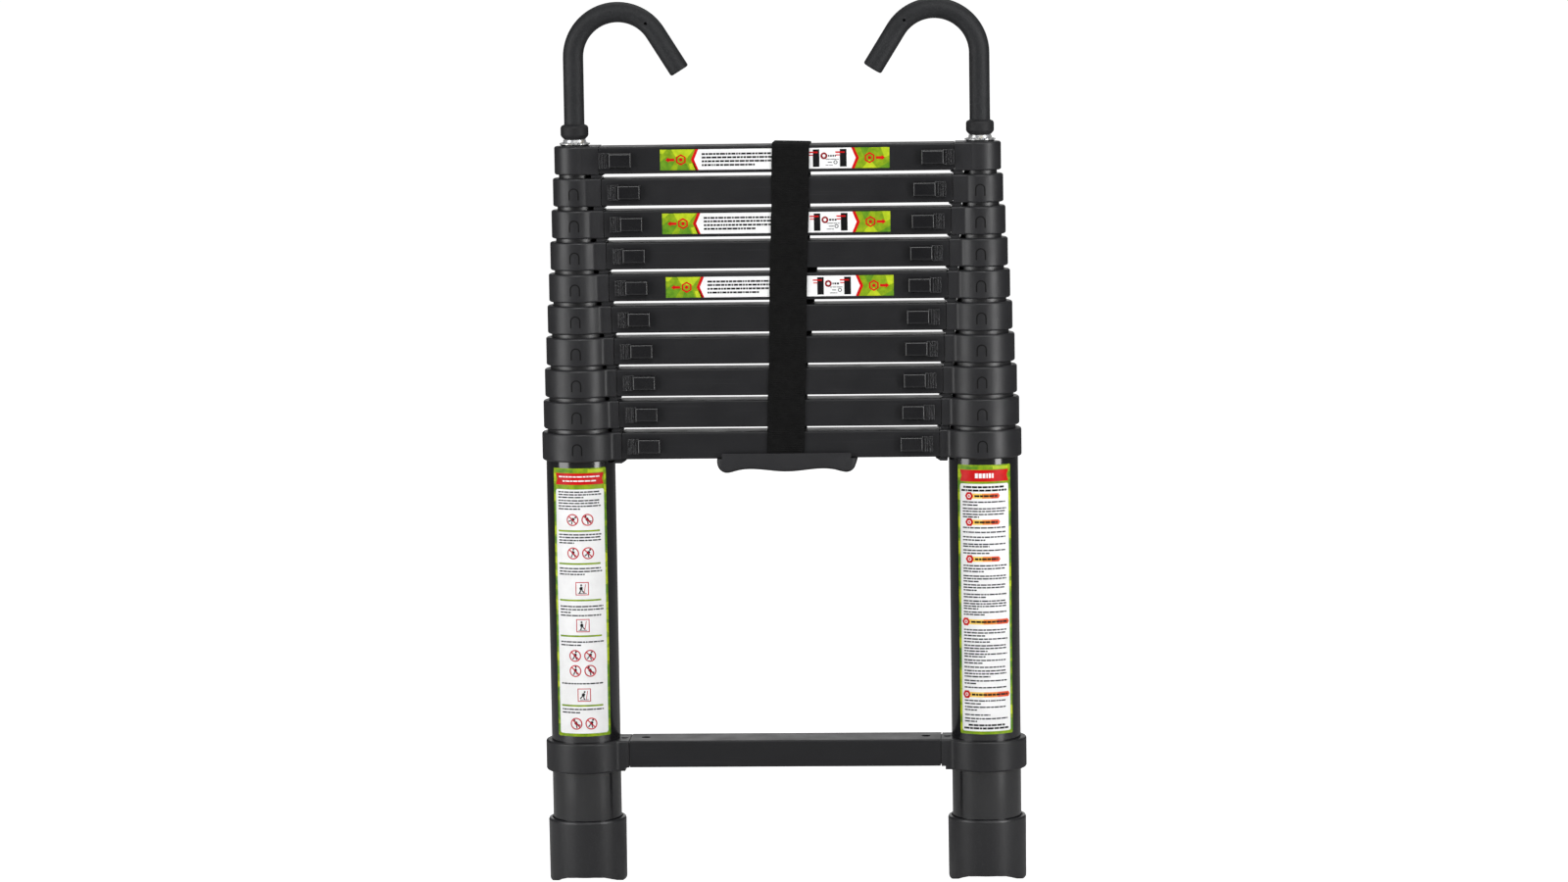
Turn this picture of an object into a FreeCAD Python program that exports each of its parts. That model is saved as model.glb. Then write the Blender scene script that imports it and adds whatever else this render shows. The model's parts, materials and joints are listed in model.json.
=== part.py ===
import FreeCAD, Part
import Sketcher
import math
import os

# Telescoping ladder, closed.  Ten nested pairs of tubes, each with a collar and
# a rung, stand on a base pair of tubes with a fixed bottom rung and rubber feet.
# Frame: origin on the floor midway between the feet, +Z up, +X to the right,
# the front (thumb latches) faces -Y.  Millimetres.

V = FreeCAD.Vector
SECTIONS = 10

doc = FreeCAD.newDocument("telescoping_ladder")

# ---------------------------------------------------------------- dimensions
DIMENSIONS = [
    ("half_span", 194.7),        # centre plane to the axis of a stile
    ("stack_base", 427.0),       # height of the lowest stacked rung
    ("stack_pitch", 30.6),       # rung to rung, closed
    ("rung_travel", 272.4),      # travel of one section
    ("bottom_level", 124.7),     # middle of the bottom collars
    ("bottom_collar_height", 29.6),
    ("bottom_rung_level", 126.6),
    ("bottom_rung_depth", 43.2),
    ("bottom_rung_height", 26.2),
    ("tube_radius", 33.4),       # outer radius of the base tube
    ("tube_step", 1.95),         # radius lost from one tube to the next
    ("tube_wall", 1.5),
    ("tube_length", 400.0),      # sliding tubes
    ("tube_seat", 8.7),          # tube end above the collar's middle
    ("base_floor", 11.0),        # rubber under the base tube
    ("ring_radius", 37.0),       # outer radius of the lowest collar
    ("ring_step", 1.9),
    ("collar_height", 27.2),
    ("collar_round", 2.0),
    ("arm_reach", 4.2),          # collar ring to rung seam
    ("arm_fillet", 6.0),
    ("rung_depth", 36.8),
    ("rung_height", 25.9),
    ("rung_corner", 1.6),
    ("rung_wall", 1.8),
    ("seam_gap", 0.8),
    ("plug_length", 12.0),
    ("slide_gap", 0.35),         # guide lip to the tube inside it
    ("spacer_height", 3.3),      # foot of a collar, on the collar below
    ("spacer_lip", 8.6),
    ("spacer_depth", 32.0),
    ("pin_radius", 4.0),
    ("pin_hole", 4.3),
    ("pin_length", 44.0),
    ("pin_overhang", 15.7),      # pin tip to the latch's outer end
    ("latch_inset", 6.5),        # latch to seam, pin resting on a tube
    ("latch_length", 31.5),
    ("latch_block", 22.0),
    ("latch_height", 13.8),
    ("latch_thick", 5.7),
    ("latch_base", 2.6),
    ("rib_width", 1.3),
    ("rib_pitch", 2.35),
    ("rib_rise", 1.4),
    ("stem_width", 8.0),
    ("stem_setback", 16.5),
    ("bottom_ring_radius", 39.0),
    ("bolt_hole", 4.5),
    ("bolt_spacing", 272.4),
    ("rivet_place", 157.0),
    ("foot_radius", 37.6),
    ("foot_height", 62.5),
    ("foot_flat", 8.0),          # pads reach this far to the front and back
    ("foot_arch", 8.0),          # arch under the sole
    ("hook_radius", 9.8),
    ("hook_bend", 43.0),
    ("hook_sweep", 148.0),
    ("hook_bend_level", 800.6),
    ("hook_limb", 43.4),
    ("cuff_radius", 13.4),
    ("cuff_level", 722.6),
    ("cuff_height", 14.4),
    ("nut_flange", 14.8),
    ("nut_body", 11.4),
    ("nut_shank", 9.0),
    ("stud_radius", 6.0),
    ("neck_radius", 13.6),
    ("neck_height", 1.6),
    ("handle_centre", 5.8),
    ("handle_depth", 46.8),
    ("handle_lip", 3.0),
    ("handle_lip_height", 5.1),
    ("screw_spacing", 84.0),
    ("strap_width", 36.4),
    ("strap_thick", 1.5),
    ("strap_gap", 0.45),
    ("strap_tilt", 1.66),
    ("strap_drop", 296.4),
    ("strap_top_centre", 14.0),
]
dims = doc.addObject("Spreadsheet::Sheet", "dims")
D = {}
for row, (alias, value) in enumerate(DIMENSIONS, start=1):
    dims.set("A%d" % row, alias)
    dims.set("B%d" % row, "%g" % value)
    dims.setAlias("B%d" % row, alias)
    D[alias] = float(value)
doc.recompute()


# ---------------------------------------------------------------- helpers
def bind(obj, prop, text):
    """Tie one property to the sheet.  Names in the text are sheet aliases."""
    obj.setExpression(prop, text)


def q(text):
    """Write @alias in place of dims.alias."""
    return text.replace("@", "dims.")


def place(obj, x=None, y=None, z=None):
    if x is not None:
        bind(obj, "Placement.Base.x", q(x))
    if y is not None:
        bind(obj, "Placement.Base.y", q(y))
    if z is not None:
        bind(obj, "Placement.Base.z", q(z))
    return obj


def cylinder(name, radius, height, x=None, y=None, z=None, axis=None):
    o = doc.addObject("Part::Cylinder", name)
    bind(o, "Radius", q(radius))
    bind(o, "Height", q(height))
    if axis == "X":
        o.Placement.Rotation = FreeCAD.Rotation(V(0, 1, 0), 90)
    elif axis == "-X":
        o.Placement.Rotation = FreeCAD.Rotation(V(0, 1, 0), -90)
    elif axis == "Y":
        o.Placement.Rotation = FreeCAD.Rotation(V(1, 0, 0), -90)
    return place(o, x, y, z)


def box(name, length, width, height, x=None, y=None, z=None):
    o = doc.addObject("Part::Box", name)
    bind(o, "Length", q(length))
    bind(o, "Width", q(width))
    bind(o, "Height", q(height))
    return place(o, x, y, z)


def fuse(name, shapes):
    o = doc.addObject("Part::MultiFuse", name)
    o.Shapes = shapes
    return o


def cut(name, base, tool):
    o = doc.addObject("Part::Cut", name)
    o.Base = base
    o.Tool = tool
    return o


def mirrored(name, source):
    o = doc.addObject("Part::Mirroring", name)
    o.Source = source
    o.Normal = V(1, 0, 0)
    o.Base = V(0, 0, 0)
    return o


NODES = []


def node(obj, label):
    obj.Label = label
    NODES.append(obj)
    return obj


def pair(label, left, right=None):
    """A left piece and its mirror image, two separate solids in one node."""
    o = doc.addObject("Part::Compound", "pair_" + label)
    o.Links = [left, right if right is not None else mirrored("mirror_" + label, left)]
    return node(o, label)


def group(name, parts):
    o = doc.addObject("Part::Compound", name)
    o.Links = parts
    return o


def plane(body, role):
    for f in body.Origin.OriginFeatures:
        if f.Role == role:
            return f


def sketch(body, name, role):
    s = body.newObject("Sketcher::SketchObject", name)
    s.AttachmentSupport = [(plane(body, role), "")]
    s.MapMode = "FlatFace"
    return s


def con(sk, text, *args):
    """Add a constraint, and tie its value to the sheet when a text is given."""
    i = sk.addConstraint(Sketcher.Constraint(*args))
    if text:
        sk.setExpression("Constraints[%d]" % i, q(text))
    return i


def arc(cx, cy, r, a0, a1):
    return Part.ArcOfCircle(Part.Circle(V(cx, cy, 0), V(0, 0, 1), r),
                            math.radians(a0), math.radians(a1))


def line(x0, y0, x1, y1):
    return Part.LineSegment(V(x0, y0, 0), V(x1, y1, 0))


def rounded_rectangle(sk, wt, ht, rt, w, h, r):
    """Centred rectangle w by h with corner radius r, fully constrained."""
    a, b = w / 2.0, h / 2.0
    g = sk.addGeometry([
        line(-a + r, -b, a - r, -b), arc(a - r, -b + r, r, -90, 0),
        line(a, -b + r, a, b - r), arc(a - r, b - r, r, 0, 90),
        line(a - r, b, -a + r, b), arc(-a + r, b - r, r, 90, 180),
        line(-a, b - r, -a, -b + r), arc(-a + r, -b + r, r, 180, 270)], False)
    for i in range(8):
        con(sk, None, "Tangent", g[i], 2, g[(i + 1) % 8], 1)
    con(sk, None, "Horizontal", g[0])
    con(sk, None, "Horizontal", g[4])
    con(sk, None, "Vertical", g[2])
    con(sk, None, "Vertical", g[6])
    for i in (3, 5, 7):
        con(sk, None, "Equal", g[1], g[i])
    con(sk, rt, "Radius", g[1], r)
    con(sk, wt, "DistanceX", -1, 1, g[2], 1, a)
    con(sk, wt, "DistanceX", g[6], 1, -1, 1, a)
    con(sk, ht, "DistanceY", -1, 1, g[4], 1, b)
    con(sk, ht, "DistanceY", g[0], 1, -1, 1, b)


def polygon(sk, points):
    """Closed polygon; points are (x text, y text, x, y)."""
    n = len(points)
    g = sk.addGeometry([line(points[i][2], points[i][3],
                             points[(i + 1) % n][2], points[(i + 1) % n][3])
                        for i in range(n)], False)
    for i in range(n):
        con(sk, None, "Coincident", g[i], 2, g[(i + 1) % n], 1)
    for i in range(n):
        xt, yt, x, y = points[i]
        con(sk, xt, "DistanceX", -1, 1, g[i], 1, x)
        con(sk, yt, "DistanceY", -1, 1, g[i], 1, y)


def edges_where(shape, test):
    return ["Edge%d" % (i + 1) for i, e in enumerate(shape.Edges) if test(e)]


# per-section expressions -------------------------------------------------
def level(k):
    return "(@stack_base + %d * @stack_pitch)" % (k - 1)


def tube_r(k):
    return "(@tube_radius - %d * @tube_step)" % (k - 1)


def ring_r(k):
    return "(@ring_radius - %d * @ring_step)" % (k - 1)


def seam(k):
    return "(@half_span - %s - @arm_reach)" % ring_r(k)


def level_v(k):
    return D["stack_base"] + (k - 1) * D["stack_pitch"]


def ring_v(k):
    return D["ring_radius"] - (k - 1) * D["ring_step"]


# ---------------------------------------------------------------- tubes
# Drawn aluminium tubes.  The hole at the top lets the lock pin of the same
# level through; the hole near the foot of a sliding tube takes the lock pin of
# the level below when the section is fully out.
for k in range(1, SECTIONS + 1):
    n = "%02d" % k
    if k == 1:
        bottom = "@base_floor"
        height = "%s + @tube_seat - @base_floor" % level(1)
    else:
        bottom = "%s + @tube_seat - @tube_length" % level(k)
        height = "@tube_length"
    outer = cylinder("tube_outer_" + n, tube_r(k), height, "-@half_span", None, bottom)
    tools = [cylinder("tube_bore_" + n, tube_r(k) + " - @tube_wall", height + " + 2",
                      "-@half_span", None, bottom + " - 1"),
             cylinder("pin_window_" + n, "@pin_hole", tube_r(k) + " + 3",
                      "-@half_span", None, level(k), "X")]
    if k > 1:
        tools.append(cylinder("lock_hole_" + n, "@pin_hole", tube_r(k) + " + 3",
                              "-@half_span", None, level(k - 1) + " - @rung_travel", "X"))
    left = cut("tube_left_" + n, outer, fuse("tube_tools_" + n, tools))
    pair("tubes_" + n, left)


# ---------------------------------------------------------------- collars
def collar_body(name, rt, r, zt, depth="rung_depth", high="collar_height", rise="0", v=0.0,
                rung="rung_height"):
    """Moulded collar: ring, filleted arm, plug inside the rung.  Local origin on
    the stile axis at the underside of the ring, arm along +X.  The rung's axis is
    rise above the middle of the ring."""
    w = D[depth] / 2.0
    rf = D["arm_fillet"]
    reach = r + D["arm_reach"]
    xf = math.sqrt((r + rf) ** 2 - (w + rf) ** 2)
    phi = math.degrees(math.atan2(w + rf, xf))
    body = doc.addObject("PartDesign::Body", name)
    sk = sketch(body, name + "_plan", "XY_Plane")
    g = sk.addGeometry([
        arc(0, 0, r, phi, 360 - phi),
        arc(xf, w + rf, rf, 180 + phi, 270),
        line(xf, w, reach, w),
        line(reach, w, reach, -w),
        line(reach, -w, xf, -w),
        arc(xf, -w - rf, rf, 90, 180 - phi)], False)
    con(sk, None, "Coincident", g[0], 3, -1, 1)
    con(sk, None, "Tangent", g[0], 1, g[1], 1)
    con(sk, None, "Tangent", g[1], 2, g[2], 1)
    con(sk, None, "Coincident", g[2], 2, g[3], 1)
    con(sk, None, "Coincident", g[3], 2, g[4], 1)
    con(sk, None, "Tangent", g[4], 2, g[5], 1)
    con(sk, None, "Tangent", g[5], 2, g[0], 2)
    con(sk, None, "Horizontal", g[2])
    con(sk, None, "Horizontal", g[4])
    con(sk, None, "Vertical", g[3])
    con(sk, rt, "Radius", g[0], r)
    con(sk, "@arm_fillet", "Radius", g[1], rf)
    con(sk, None, "Equal", g[1], g[5])
    con(sk, "@" + depth + " / 2", "DistanceY", -1, 1, g[2], 1, w)
    con(sk, "@" + depth + " / 2", "DistanceY", g[4], 1, -1, 1, w)
    con(sk, rt + " + @arm_reach", "DistanceX", -1, 1, g[3], 1, reach)
    pad = body.newObject("PartDesign::Pad", name + "_pad")
    pad.Profile = sk
    bind(pad, "Length", q("@" + high))
    doc.recompute()
    h = D[high]

    def flat(e):
        b = e.BoundBox
        on_face = b.ZLength < 1e-6 and (abs(b.ZMin) < 1e-6 or abs(b.ZMin - h) < 1e-6)
        at_seam = abs(b.XMin - reach) < 1e-6
        return on_face and not at_seam

    rnd = body.newObject("PartDesign::Fillet", name + "_round")
    rnd.Base = (pad, edges_where(pad.Shape, flat))
    bind(rnd, "Radius", q("@collar_round"))
    # plug that the hollow rung slides over
    pk = sketch(body, name + "_plug_plan", "YZ_Plane")
    pk.AttachmentOffset = FreeCAD.Placement(V(0, 0, reach - 2), FreeCAD.Rotation())
    pk.setExpression("AttachmentOffset.Base.z", q(rt + " + @arm_reach - 2"))
    a = w - D["rung_wall"] - 0.1
    b0 = h / 2 + v - D[rung] / 2 + D["rung_wall"] + 0.1
    b1 = h / 2 + v + D[rung] / 2 - D["rung_wall"] - 0.1
    at = "@%s / 2 - @rung_wall - 0.1" % depth
    bt = "@%s / 2 + %s - @%s / 2 + @rung_wall + 0.1" % (high, rise, rung)
    ct = "@%s / 2 + %s + @%s / 2 - @rung_wall - 0.1" % (high, rise, rung)
    polygon(pk, [("-(" + at + ")", bt, -a, b0), (at, bt, a, b0),
                 (at, ct, a, b1), ("-(" + at + ")", ct, -a, b1)])
    plug = body.newObject("PartDesign::Pad", name + "_plug")
    plug.Profile = pk
    bind(plug, "Length", q("@plug_length + 2"))
    place(body, "-@half_span", None, zt + " - @" + high + " / 2")
    return body


def spacer(body, name, k):
    """Foot under the arm that rests on the collar below when closed."""
    t = D["tube_radius"] - (k - 1) * D["tube_step"]
    x0, x1 = t + 0.8, ring_v(k) + D["spacer_lip"]
    hgt = D["spacer_height"]
    sk = sketch(body, name + "_spacer_side", "XZ_Plane")
    x0t, x1t = tube_r(k) + " + 0.8", ring_r(k) + " + @spacer_lip"
    xs, xst = ring_v(k) + D["arm_reach"] - 0.5, ring_r(k) + " + @arm_reach - 0.5"
    polygon(sk, [(x0t, "-@spacer_height", x0, -hgt),
                 (x1t + " - 4.5", "-@spacer_height", x1 - 4.5, -hgt),
                 (x1t, "-0.4", x1, -0.4),
                 (x1t, "0", x1, 0.0),
                 (xst, "0", xs, 0.0),
                 (xst, "1.6", xs, 1.6),
                 (x0t, "1.6", x0, 1.6)])
    sp = body.newObject("PartDesign::Pad", name + "_spacer")
    sp.Profile = sk
    sp.Midplane = True
    bind(sp, "Length", q("@spacer_depth"))
    return sp


def tongue_tool(name, k):
    """Slit round the snap tongue on the front of the ring."""
    z = level(k)
    y0 = "-%s - 1" % ring_r(k)
    parts = []
    for tag, half, extra in (("o", 4.8, 0.0), ("i", 3.9, 0.6)):
        parts.append(fuse(name + "_" + tag, [
            box(name + "_" + tag + "_leg", "%g" % (2 * half), "1.7 + %g" % (2 * extra), "6.6 + %g" % (2 * extra),
                "-@half_span - %g" % half, y0 + " - %g" % extra, z + " - 7 - %g" % (2 * extra)),
            cylinder(name + "_" + tag + "_top", "%g" % half, "1.7 + %g" % (2 * extra),
                     "-@half_span", y0 + " - %g" % extra, z + " - 0.4", "Y")]))
    return cut(name, parts[0], parts[1])


for k in range(1, SECTIONS + 1):
    n = "%02d" % k
    body = collar_body("collar_" + n, ring_r(k), ring_v(k), level(k))
    spacer(body, "collar_" + n, k)
    tools = [cylinder("collar_socket_" + n, tube_r(k), "@collar_height / 2 + @tube_seat + 10",
                      "-@half_span", None, level(k) + " - @collar_height / 2 - 10"),
             cylinder("collar_pin_way_" + n, "@pin_hole", "60",
                      "-@half_span + 2", None, level(k), "X")]
    if k < SECTIONS:
        tools.append(cylinder("collar_guide_" + n, tube_r(k + 1) + " + @slide_gap",
                              "@collar_height + 2", "-@half_span", None,
                              level(k) + " - @collar_height / 2 - 1"))
        tools.append(tongue_tool("tongue_" + n, k))
    else:
        tools.append(cylinder("collar_nut_way", "@nut_shank", "40", "-@half_span", None, level(k)))
    base = body
    if k == SECTIONS:
        base = fuse("collar_top_" + n, [body, cylinder(
            "collar_neck", "@neck_radius", "@neck_height + 2", "-@half_span", None,
            level(k) + " + @collar_height / 2 - 2")])
    left = cut("collar_left_" + n, base, fuse("collar_tools_" + n, tools))
    pair("collars_" + n, left)


# ---------------------------------------------------------------- rungs
def rung_body(name, half_text, ztext, depth="rung_depth", high="rung_height"):
    body = doc.addObject("PartDesign::Body", name)
    sk = sketch(body, name + "_section", "YZ_Plane")
    rounded_rectangle(sk, "@%s / 2" % depth, "@%s / 2" % high, "@rung_corner",
                      D[depth], D[high], D["rung_corner"])
    rounded_rectangle(sk, "@%s / 2 - @rung_wall" % depth, "@%s / 2 - @rung_wall" % high,
                      "@rung_corner - 0.7", D[depth] - 2 * D["rung_wall"],
                      D[high] - 2 * D["rung_wall"], D["rung_corner"] - 0.7)
    pad = body.newObject("PartDesign::Pad", name + "_pad")
    pad.Profile = sk
    pad.Midplane = True
    bind(pad, "Length", q("2 * (" + half_text + ")"))
    place(body, None, None, ztext)
    return body


def latch_outer(k):
    """Distance from the centre plane to the collar end of a latch."""
    if k == SECTIONS:
        return "(%s - 0.4)" % seam(k)
    return "(%s - @latch_inset)" % seam(k)


for k in range(1, SECTIONS + 1):
    n = "%02d" % k
    body = rung_body("rung_blank_" + n, seam(k) + " - @seam_gap", level(k))
    # slots behind the latches, long enough for the whole pin stroke
    out_room = "0.5" if k == SECTIONS else "@latch_inset + 0.5"
    length = "@stem_width + 10.4 + " + out_room
    if k < SECTIONS:
        length = "@stem_width + 3.9 + " + out_room
    tools = []
    for side in ("left", "right"):
        x_in = latch_outer(k) + " - @stem_setback + @stem_width / 2 + " + out_room
        if side == "left":
            x = "-(" + x_in + ")"
        else:
            x = x_in + " - (" + length + ")"
        tools.append(box("slot_%s_%s" % (side, n), length, "8", "@stem_width + 0.6", x,
                         "-@rung_depth / 2 - 2", level(k) + " - @stem_width / 2 - 0.3"))
    if k == 1:
        for s in ("-", "+"):
            tools.append(cylinder("screw_way_" + ("l" if s == "-" else "r"), "2", "12",
                                  "@handle_centre %s @screw_spacing / 2" % s, None,
                                  level(1) + " - @rung_height / 2 - 6"))
    node(cut("rung_cut_" + n, body, fuse("rung_tools_" + n, tools)), "rung_" + n)

# ---------------------------------------------------------------- latches
# Thumb slide of the left-hand side: local origin at the collar end of the
# slide, on the pin axis, x towards the middle of the ladder.
slide = doc.addObject("PartDesign::Body", "thumb_slide")
face = -(D["rung_depth"] / 2 + 0.3)
hl = D["latch_height"] / 2
lb = D["latch_length"] - D["latch_block"]
ll = D["latch_length"]
sk = sketch(slide, "slide_base_outline", "XZ_Plane")
polygon(sk, [("0.2", "-@latch_height / 2 - 0.4", 0.2, -hl - 0.4),
             ("@latch_length - @latch_block + 1", "-@latch_height / 2 - 0.4", lb + 1, -hl - 0.4),
             ("@latch_length - @latch_block + 1", "@latch_height / 2 + 0.4", lb + 1, hl + 0.4),
             ("0.2", "@latch_height / 2 + 0.4", 0.2, hl + 0.4)])
sk.AttachmentOffset = FreeCAD.Placement(V(0, 0, -face), FreeCAD.Rotation())
sk.setExpression("AttachmentOffset.Base.z", q("@rung_depth / 2 + 0.3"))
p = slide.newObject("PartDesign::Pad", "slide_base")
p.Profile = sk
bind(p, "Length", q("@latch_base"))
sk = sketch(slide, "slide_block_outline", "XZ_Plane")
sk.AttachmentOffset = FreeCAD.Placement(V(0, 0, -face), FreeCAD.Rotation())
sk.setExpression("AttachmentOffset.Base.z", q("@rung_depth / 2 + 0.3"))
polygon(sk, [("@latch_length - @latch_block", "-@latch_height / 2", lb, -hl),
             ("@latch_length", "-@latch_height / 2", ll, -hl),
             ("@latch_length", "@latch_height / 2", ll, hl),
             ("@latch_length - @latch_block", "@latch_height / 2", lb, hl)])
p = slide.newObject("PartDesign::Pad", "slide_block")
p.Profile = sk
bind(p, "Length", q("@latch_thick"))
doc.recompute()
yf = face - D["latch_thick"]


def block_edge(e):
    b = e.BoundBox
    front = b.YLength < 1e-6 and abs(b.YMin - yf) < 1e-6
    return front


rnd = slide.newObject("PartDesign::Fillet", "slide_block_round")
rnd.Base = (p, edges_where(p.Shape, block_edge))
rnd.Radius = 1.8
# ribs for the thumb, stepping down towards the collar
sk = sketch(slide, "rib_outline", "XZ_Plane")
sk.AttachmentOffset = FreeCAD.Placement(V(0, 0, -face + 1), FreeCAD.Rotation())
sk.setExpression("AttachmentOffset.Base.z", q("@rung_depth / 2 + 1.3"))
polygon(sk, [("0.2", "-@latch_height / 2 - 0.4", 0.2, -hl - 0.4),
             ("0.2 + @rib_width", "-@latch_height / 2 - 0.4", 0.2 + D["rib_width"], -hl - 0.4),
             ("0.2 + @rib_width", "@latch_height / 2 + 0.4", 0.2 + D["rib_width"], hl + 0.4),
             ("0.2", "@latch_height / 2 + 0.4", 0.2, hl + 0.4)])
rib = slide.newObject("PartDesign::Pad", "rib")
rib.Profile = sk
bind(rib, "Length", q("@latch_base - 1 + @rib_rise"))
doc.recompute()
pattern = slide.newObject("PartDesign::LinearPattern", "rib_row")
pattern.Originals = [rib]
pattern.Direction = (plane(slide, "X_Axis"), [""])
pattern.Length = 3 * D["rib_pitch"]
bind(pattern, "Length", q("3 * @rib_pitch"))
pattern.Occurrences = 4
slide.Tip = pattern
doc.recompute()
# stem through the slot in the rung, with the bore that grips the pin
sk = sketch(slide, "stem_outline", "XZ_Plane")
sk.AttachmentOffset = FreeCAD.Placement(V(0, 0, -6.0), FreeCAD.Rotation())
hs = D["stem_width"] / 2
xs = D["stem_setback"]
polygon(sk, [("@stem_setback - @stem_width / 2", "-@stem_width / 2", xs - hs, -hs),
             ("@stem_setback + @stem_width / 2", "-@stem_width / 2", xs + hs, -hs),
             ("@stem_setback + @stem_width / 2", "@stem_width / 2", xs + hs, hs),
             ("@stem_setback - @stem_width / 2", "@stem_width / 2", xs - hs, hs)])
stem = slide.newObject("PartDesign::Pad", "stem")
stem.Profile = sk
bind(stem, "Length", q("@rung_depth / 2 + 6 + 1"))
slide.Tip = stem
doc.recompute()
slide_cut = cut("slide_left", slide,
                cylinder("slide_pin_bore", "@pin_radius - 0.5", "80", "-20", None, None, "X"))
# steel lock pin: full diameter outside the stem, necked where the stem grips it
pin_full = cylinder("pin_full", "@pin_radius", "@pin_overhang + @stem_setback - @stem_width / 2",
                    "-@pin_overhang", None, None, "X")
pin_neck = cylinder("pin_neck", "@pin_radius - 0.5",
                    "@stem_width + 4", "@stem_setback - @stem_width / 2", None, None, "X")
pin_body = fuse("pin_solid", [pin_full, pin_neck])
latch_left = group("latch_left", [slide_cut, pin_body])
latch_right = group("latch_right", [mirrored("slide_right", slide_cut),
                                    mirrored("pin_right", pin_body)])
for k in range(1, SECTIONS + 1):
    n = "%02d" % k
    for side, master, sign in (("left", latch_left, "-"), ("right", latch_right, "")):
        o = group("latch_%s_%s" % (n, side), [master])
        place(o, sign + latch_outer(k), None, level(k))
        node(o, "latch_%s_%s" % (n, side))

# ---------------------------------------------------------------- base frame
body = collar_body("bottom_collar", "@bottom_ring_radius", D["bottom_ring_radius"],
                   "@bottom_level", "bottom_rung_depth", "bottom_collar_height",
                   "@bottom_rung_level - @bottom_level",
                   D["bottom_rung_level"] - D["bottom_level"], "bottom_rung_height")
left = cut("bottom_collar_left", body, fuse("bottom_collar_tools", [
    cylinder("bottom_collar_bore", "@tube_radius", "@bottom_collar_height + 4", "-@half_span", None,
             "@bottom_level - @bottom_collar_height / 2 - 2"),
    box("bottom_arm_relief", "4.6", "60", "6", "-@half_span + @bottom_ring_radius + 0.3", "-30",
        "@bottom_rung_level - @bottom_rung_height / 2 - 6"),
    cylinder("bottom_rivet_way", "2.4", "14", "-@rivet_place", None,
             "@bottom_level + @bottom_collar_height / 2 - 12")]))
pair("bottom_collars", left)

bottom_seam = "(@half_span - @bottom_ring_radius - @arm_reach)"
body = rung_body("bottom_rung_body", bottom_seam + " - @seam_gap", "@bottom_rung_level",
                 "bottom_rung_depth", "bottom_rung_height")
holes = [cylinder("bolt_hole_" + t, "@bolt_hole", "@bottom_rung_height + 4",
                  s + "@bolt_spacing / 2", None, "@bottom_rung_level - @bottom_rung_height / 2 - 2")
         for t, s in (("l", "-"), ("r", ""))]
node(cut("bottom_rung_cut", body, fuse("bottom_rung_tools", holes)), "bottom_rung")

# blind rivets from above into the arms of the bottom collars
shank = cylinder("rivet_shank", "2.4", "12", "-@rivet_place", None,
                 "@bottom_level + @bottom_collar_height / 2 - 12")
head = doc.addObject("Part::Cone", "rivet_head")
bind(head, "Radius1", "3.6")
bind(head, "Radius2", "2.7")
bind(head, "Height", "0.8")
place(head, "-@rivet_place", None, "@bottom_level + @bottom_collar_height / 2")
pair("rung_rivets", fuse("rivet_left", [shank, head]))

# rubber feet: cup round the base tube, arched sole that stands on a pad at
# each side, the pads rising to the front and back
foot = doc.addObject("PartDesign::Body", "foot")
R, Hf, rt, fl = D["foot_radius"], D["foot_height"], D["tube_radius"], D["base_floor"]
sk = sketch(foot, "foot_half_section", "XZ_Plane")
polygon(sk, [("0", "0", 0, 0), ("@foot_radius", "0", R, 0),
             ("@foot_radius + 0.3", "@foot_height - 2", R + 0.3, Hf - 2),
             ("@foot_radius - 0.3", "@foot_height - 0.5", R - 0.3, Hf - 0.5),
             ("@foot_radius - 1.4", "@foot_height", R - 1.4, Hf),
             ("@tube_radius + 1.2", "@foot_height", rt + 1.2, Hf),
             ("@tube_radius", "@foot_height - 3", rt, Hf - 3),
             ("@tube_radius", "@base_floor", rt, fl), ("0", "@base_floor", 0, fl)])
rev = foot.newObject("PartDesign::Revolution", "foot_turned")
rev.Profile = sk
rev.ReferenceAxis = (sk, ["V_Axis"])
rev.Angle = 360
doc.recompute()
rnd = foot.newObject("PartDesign::Fillet", "foot_sole_round")
rnd.Base = (rev, edges_where(rev.Shape, lambda e: abs(e.BoundBox.ZMax) < 1e-6
                             and e.BoundBox.XLength > 2 * R - 0.1))
rnd.Radius = 3.5
doc.recompute()
sk = sketch(foot, "sole_relief", "YZ_Plane")
ff, slope = D["foot_flat"], 0.25
for s in (1, -1):
    g = sk.addGeometry([line(s * ff, 0, s * (R + 8), slope * (R + 8 - ff)),
                        line(s * (R + 8), slope * (R + 8 - ff), s * (R + 8), -3),
                        line(s * (R + 8), -3, s * ff, -3),
                        line(s * ff, -3, s * ff, 0)], False)
    for i in range(4):
        con(sk, None, "Coincident", g[i], 2, g[(i + 1) % 4], 1)
pocket = foot.newObject("PartDesign::Pocket", "sole_rise")
pocket.Profile = sk
pocket.Midplane = True
pocket.Length = 200
doc.recompute()
sk = sketch(foot, "sole_arch_side", "XZ_Plane")
fa = D["foot_arch"]
polygon(sk, [("-29.5", "-3", -29.5, -3), ("29.5", "-3", 29.5, -3), ("28", "0.6", 28, 0.6),
             ("24", "@foot_arch - 2.6", 24, fa - 2.6), ("18", "@foot_arch - 0.7", 18, fa - 0.7),
             ("9", "@foot_arch", 9, fa), ("-9", "@foot_arch", -9, fa),
             ("-18", "@foot_arch - 0.7", -18, fa - 0.7), ("-24", "@foot_arch - 2.6", -24, fa - 2.6),
             ("-28", "0.6", -28, 0.6)])
arch = foot.newObject("PartDesign::Pocket", "sole_arch")
arch.Profile = sk
arch.Midplane = True
arch.Length = 200
place(foot, "-@half_span", None, None)
doc.recompute()
pair("feet", foot)

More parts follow.
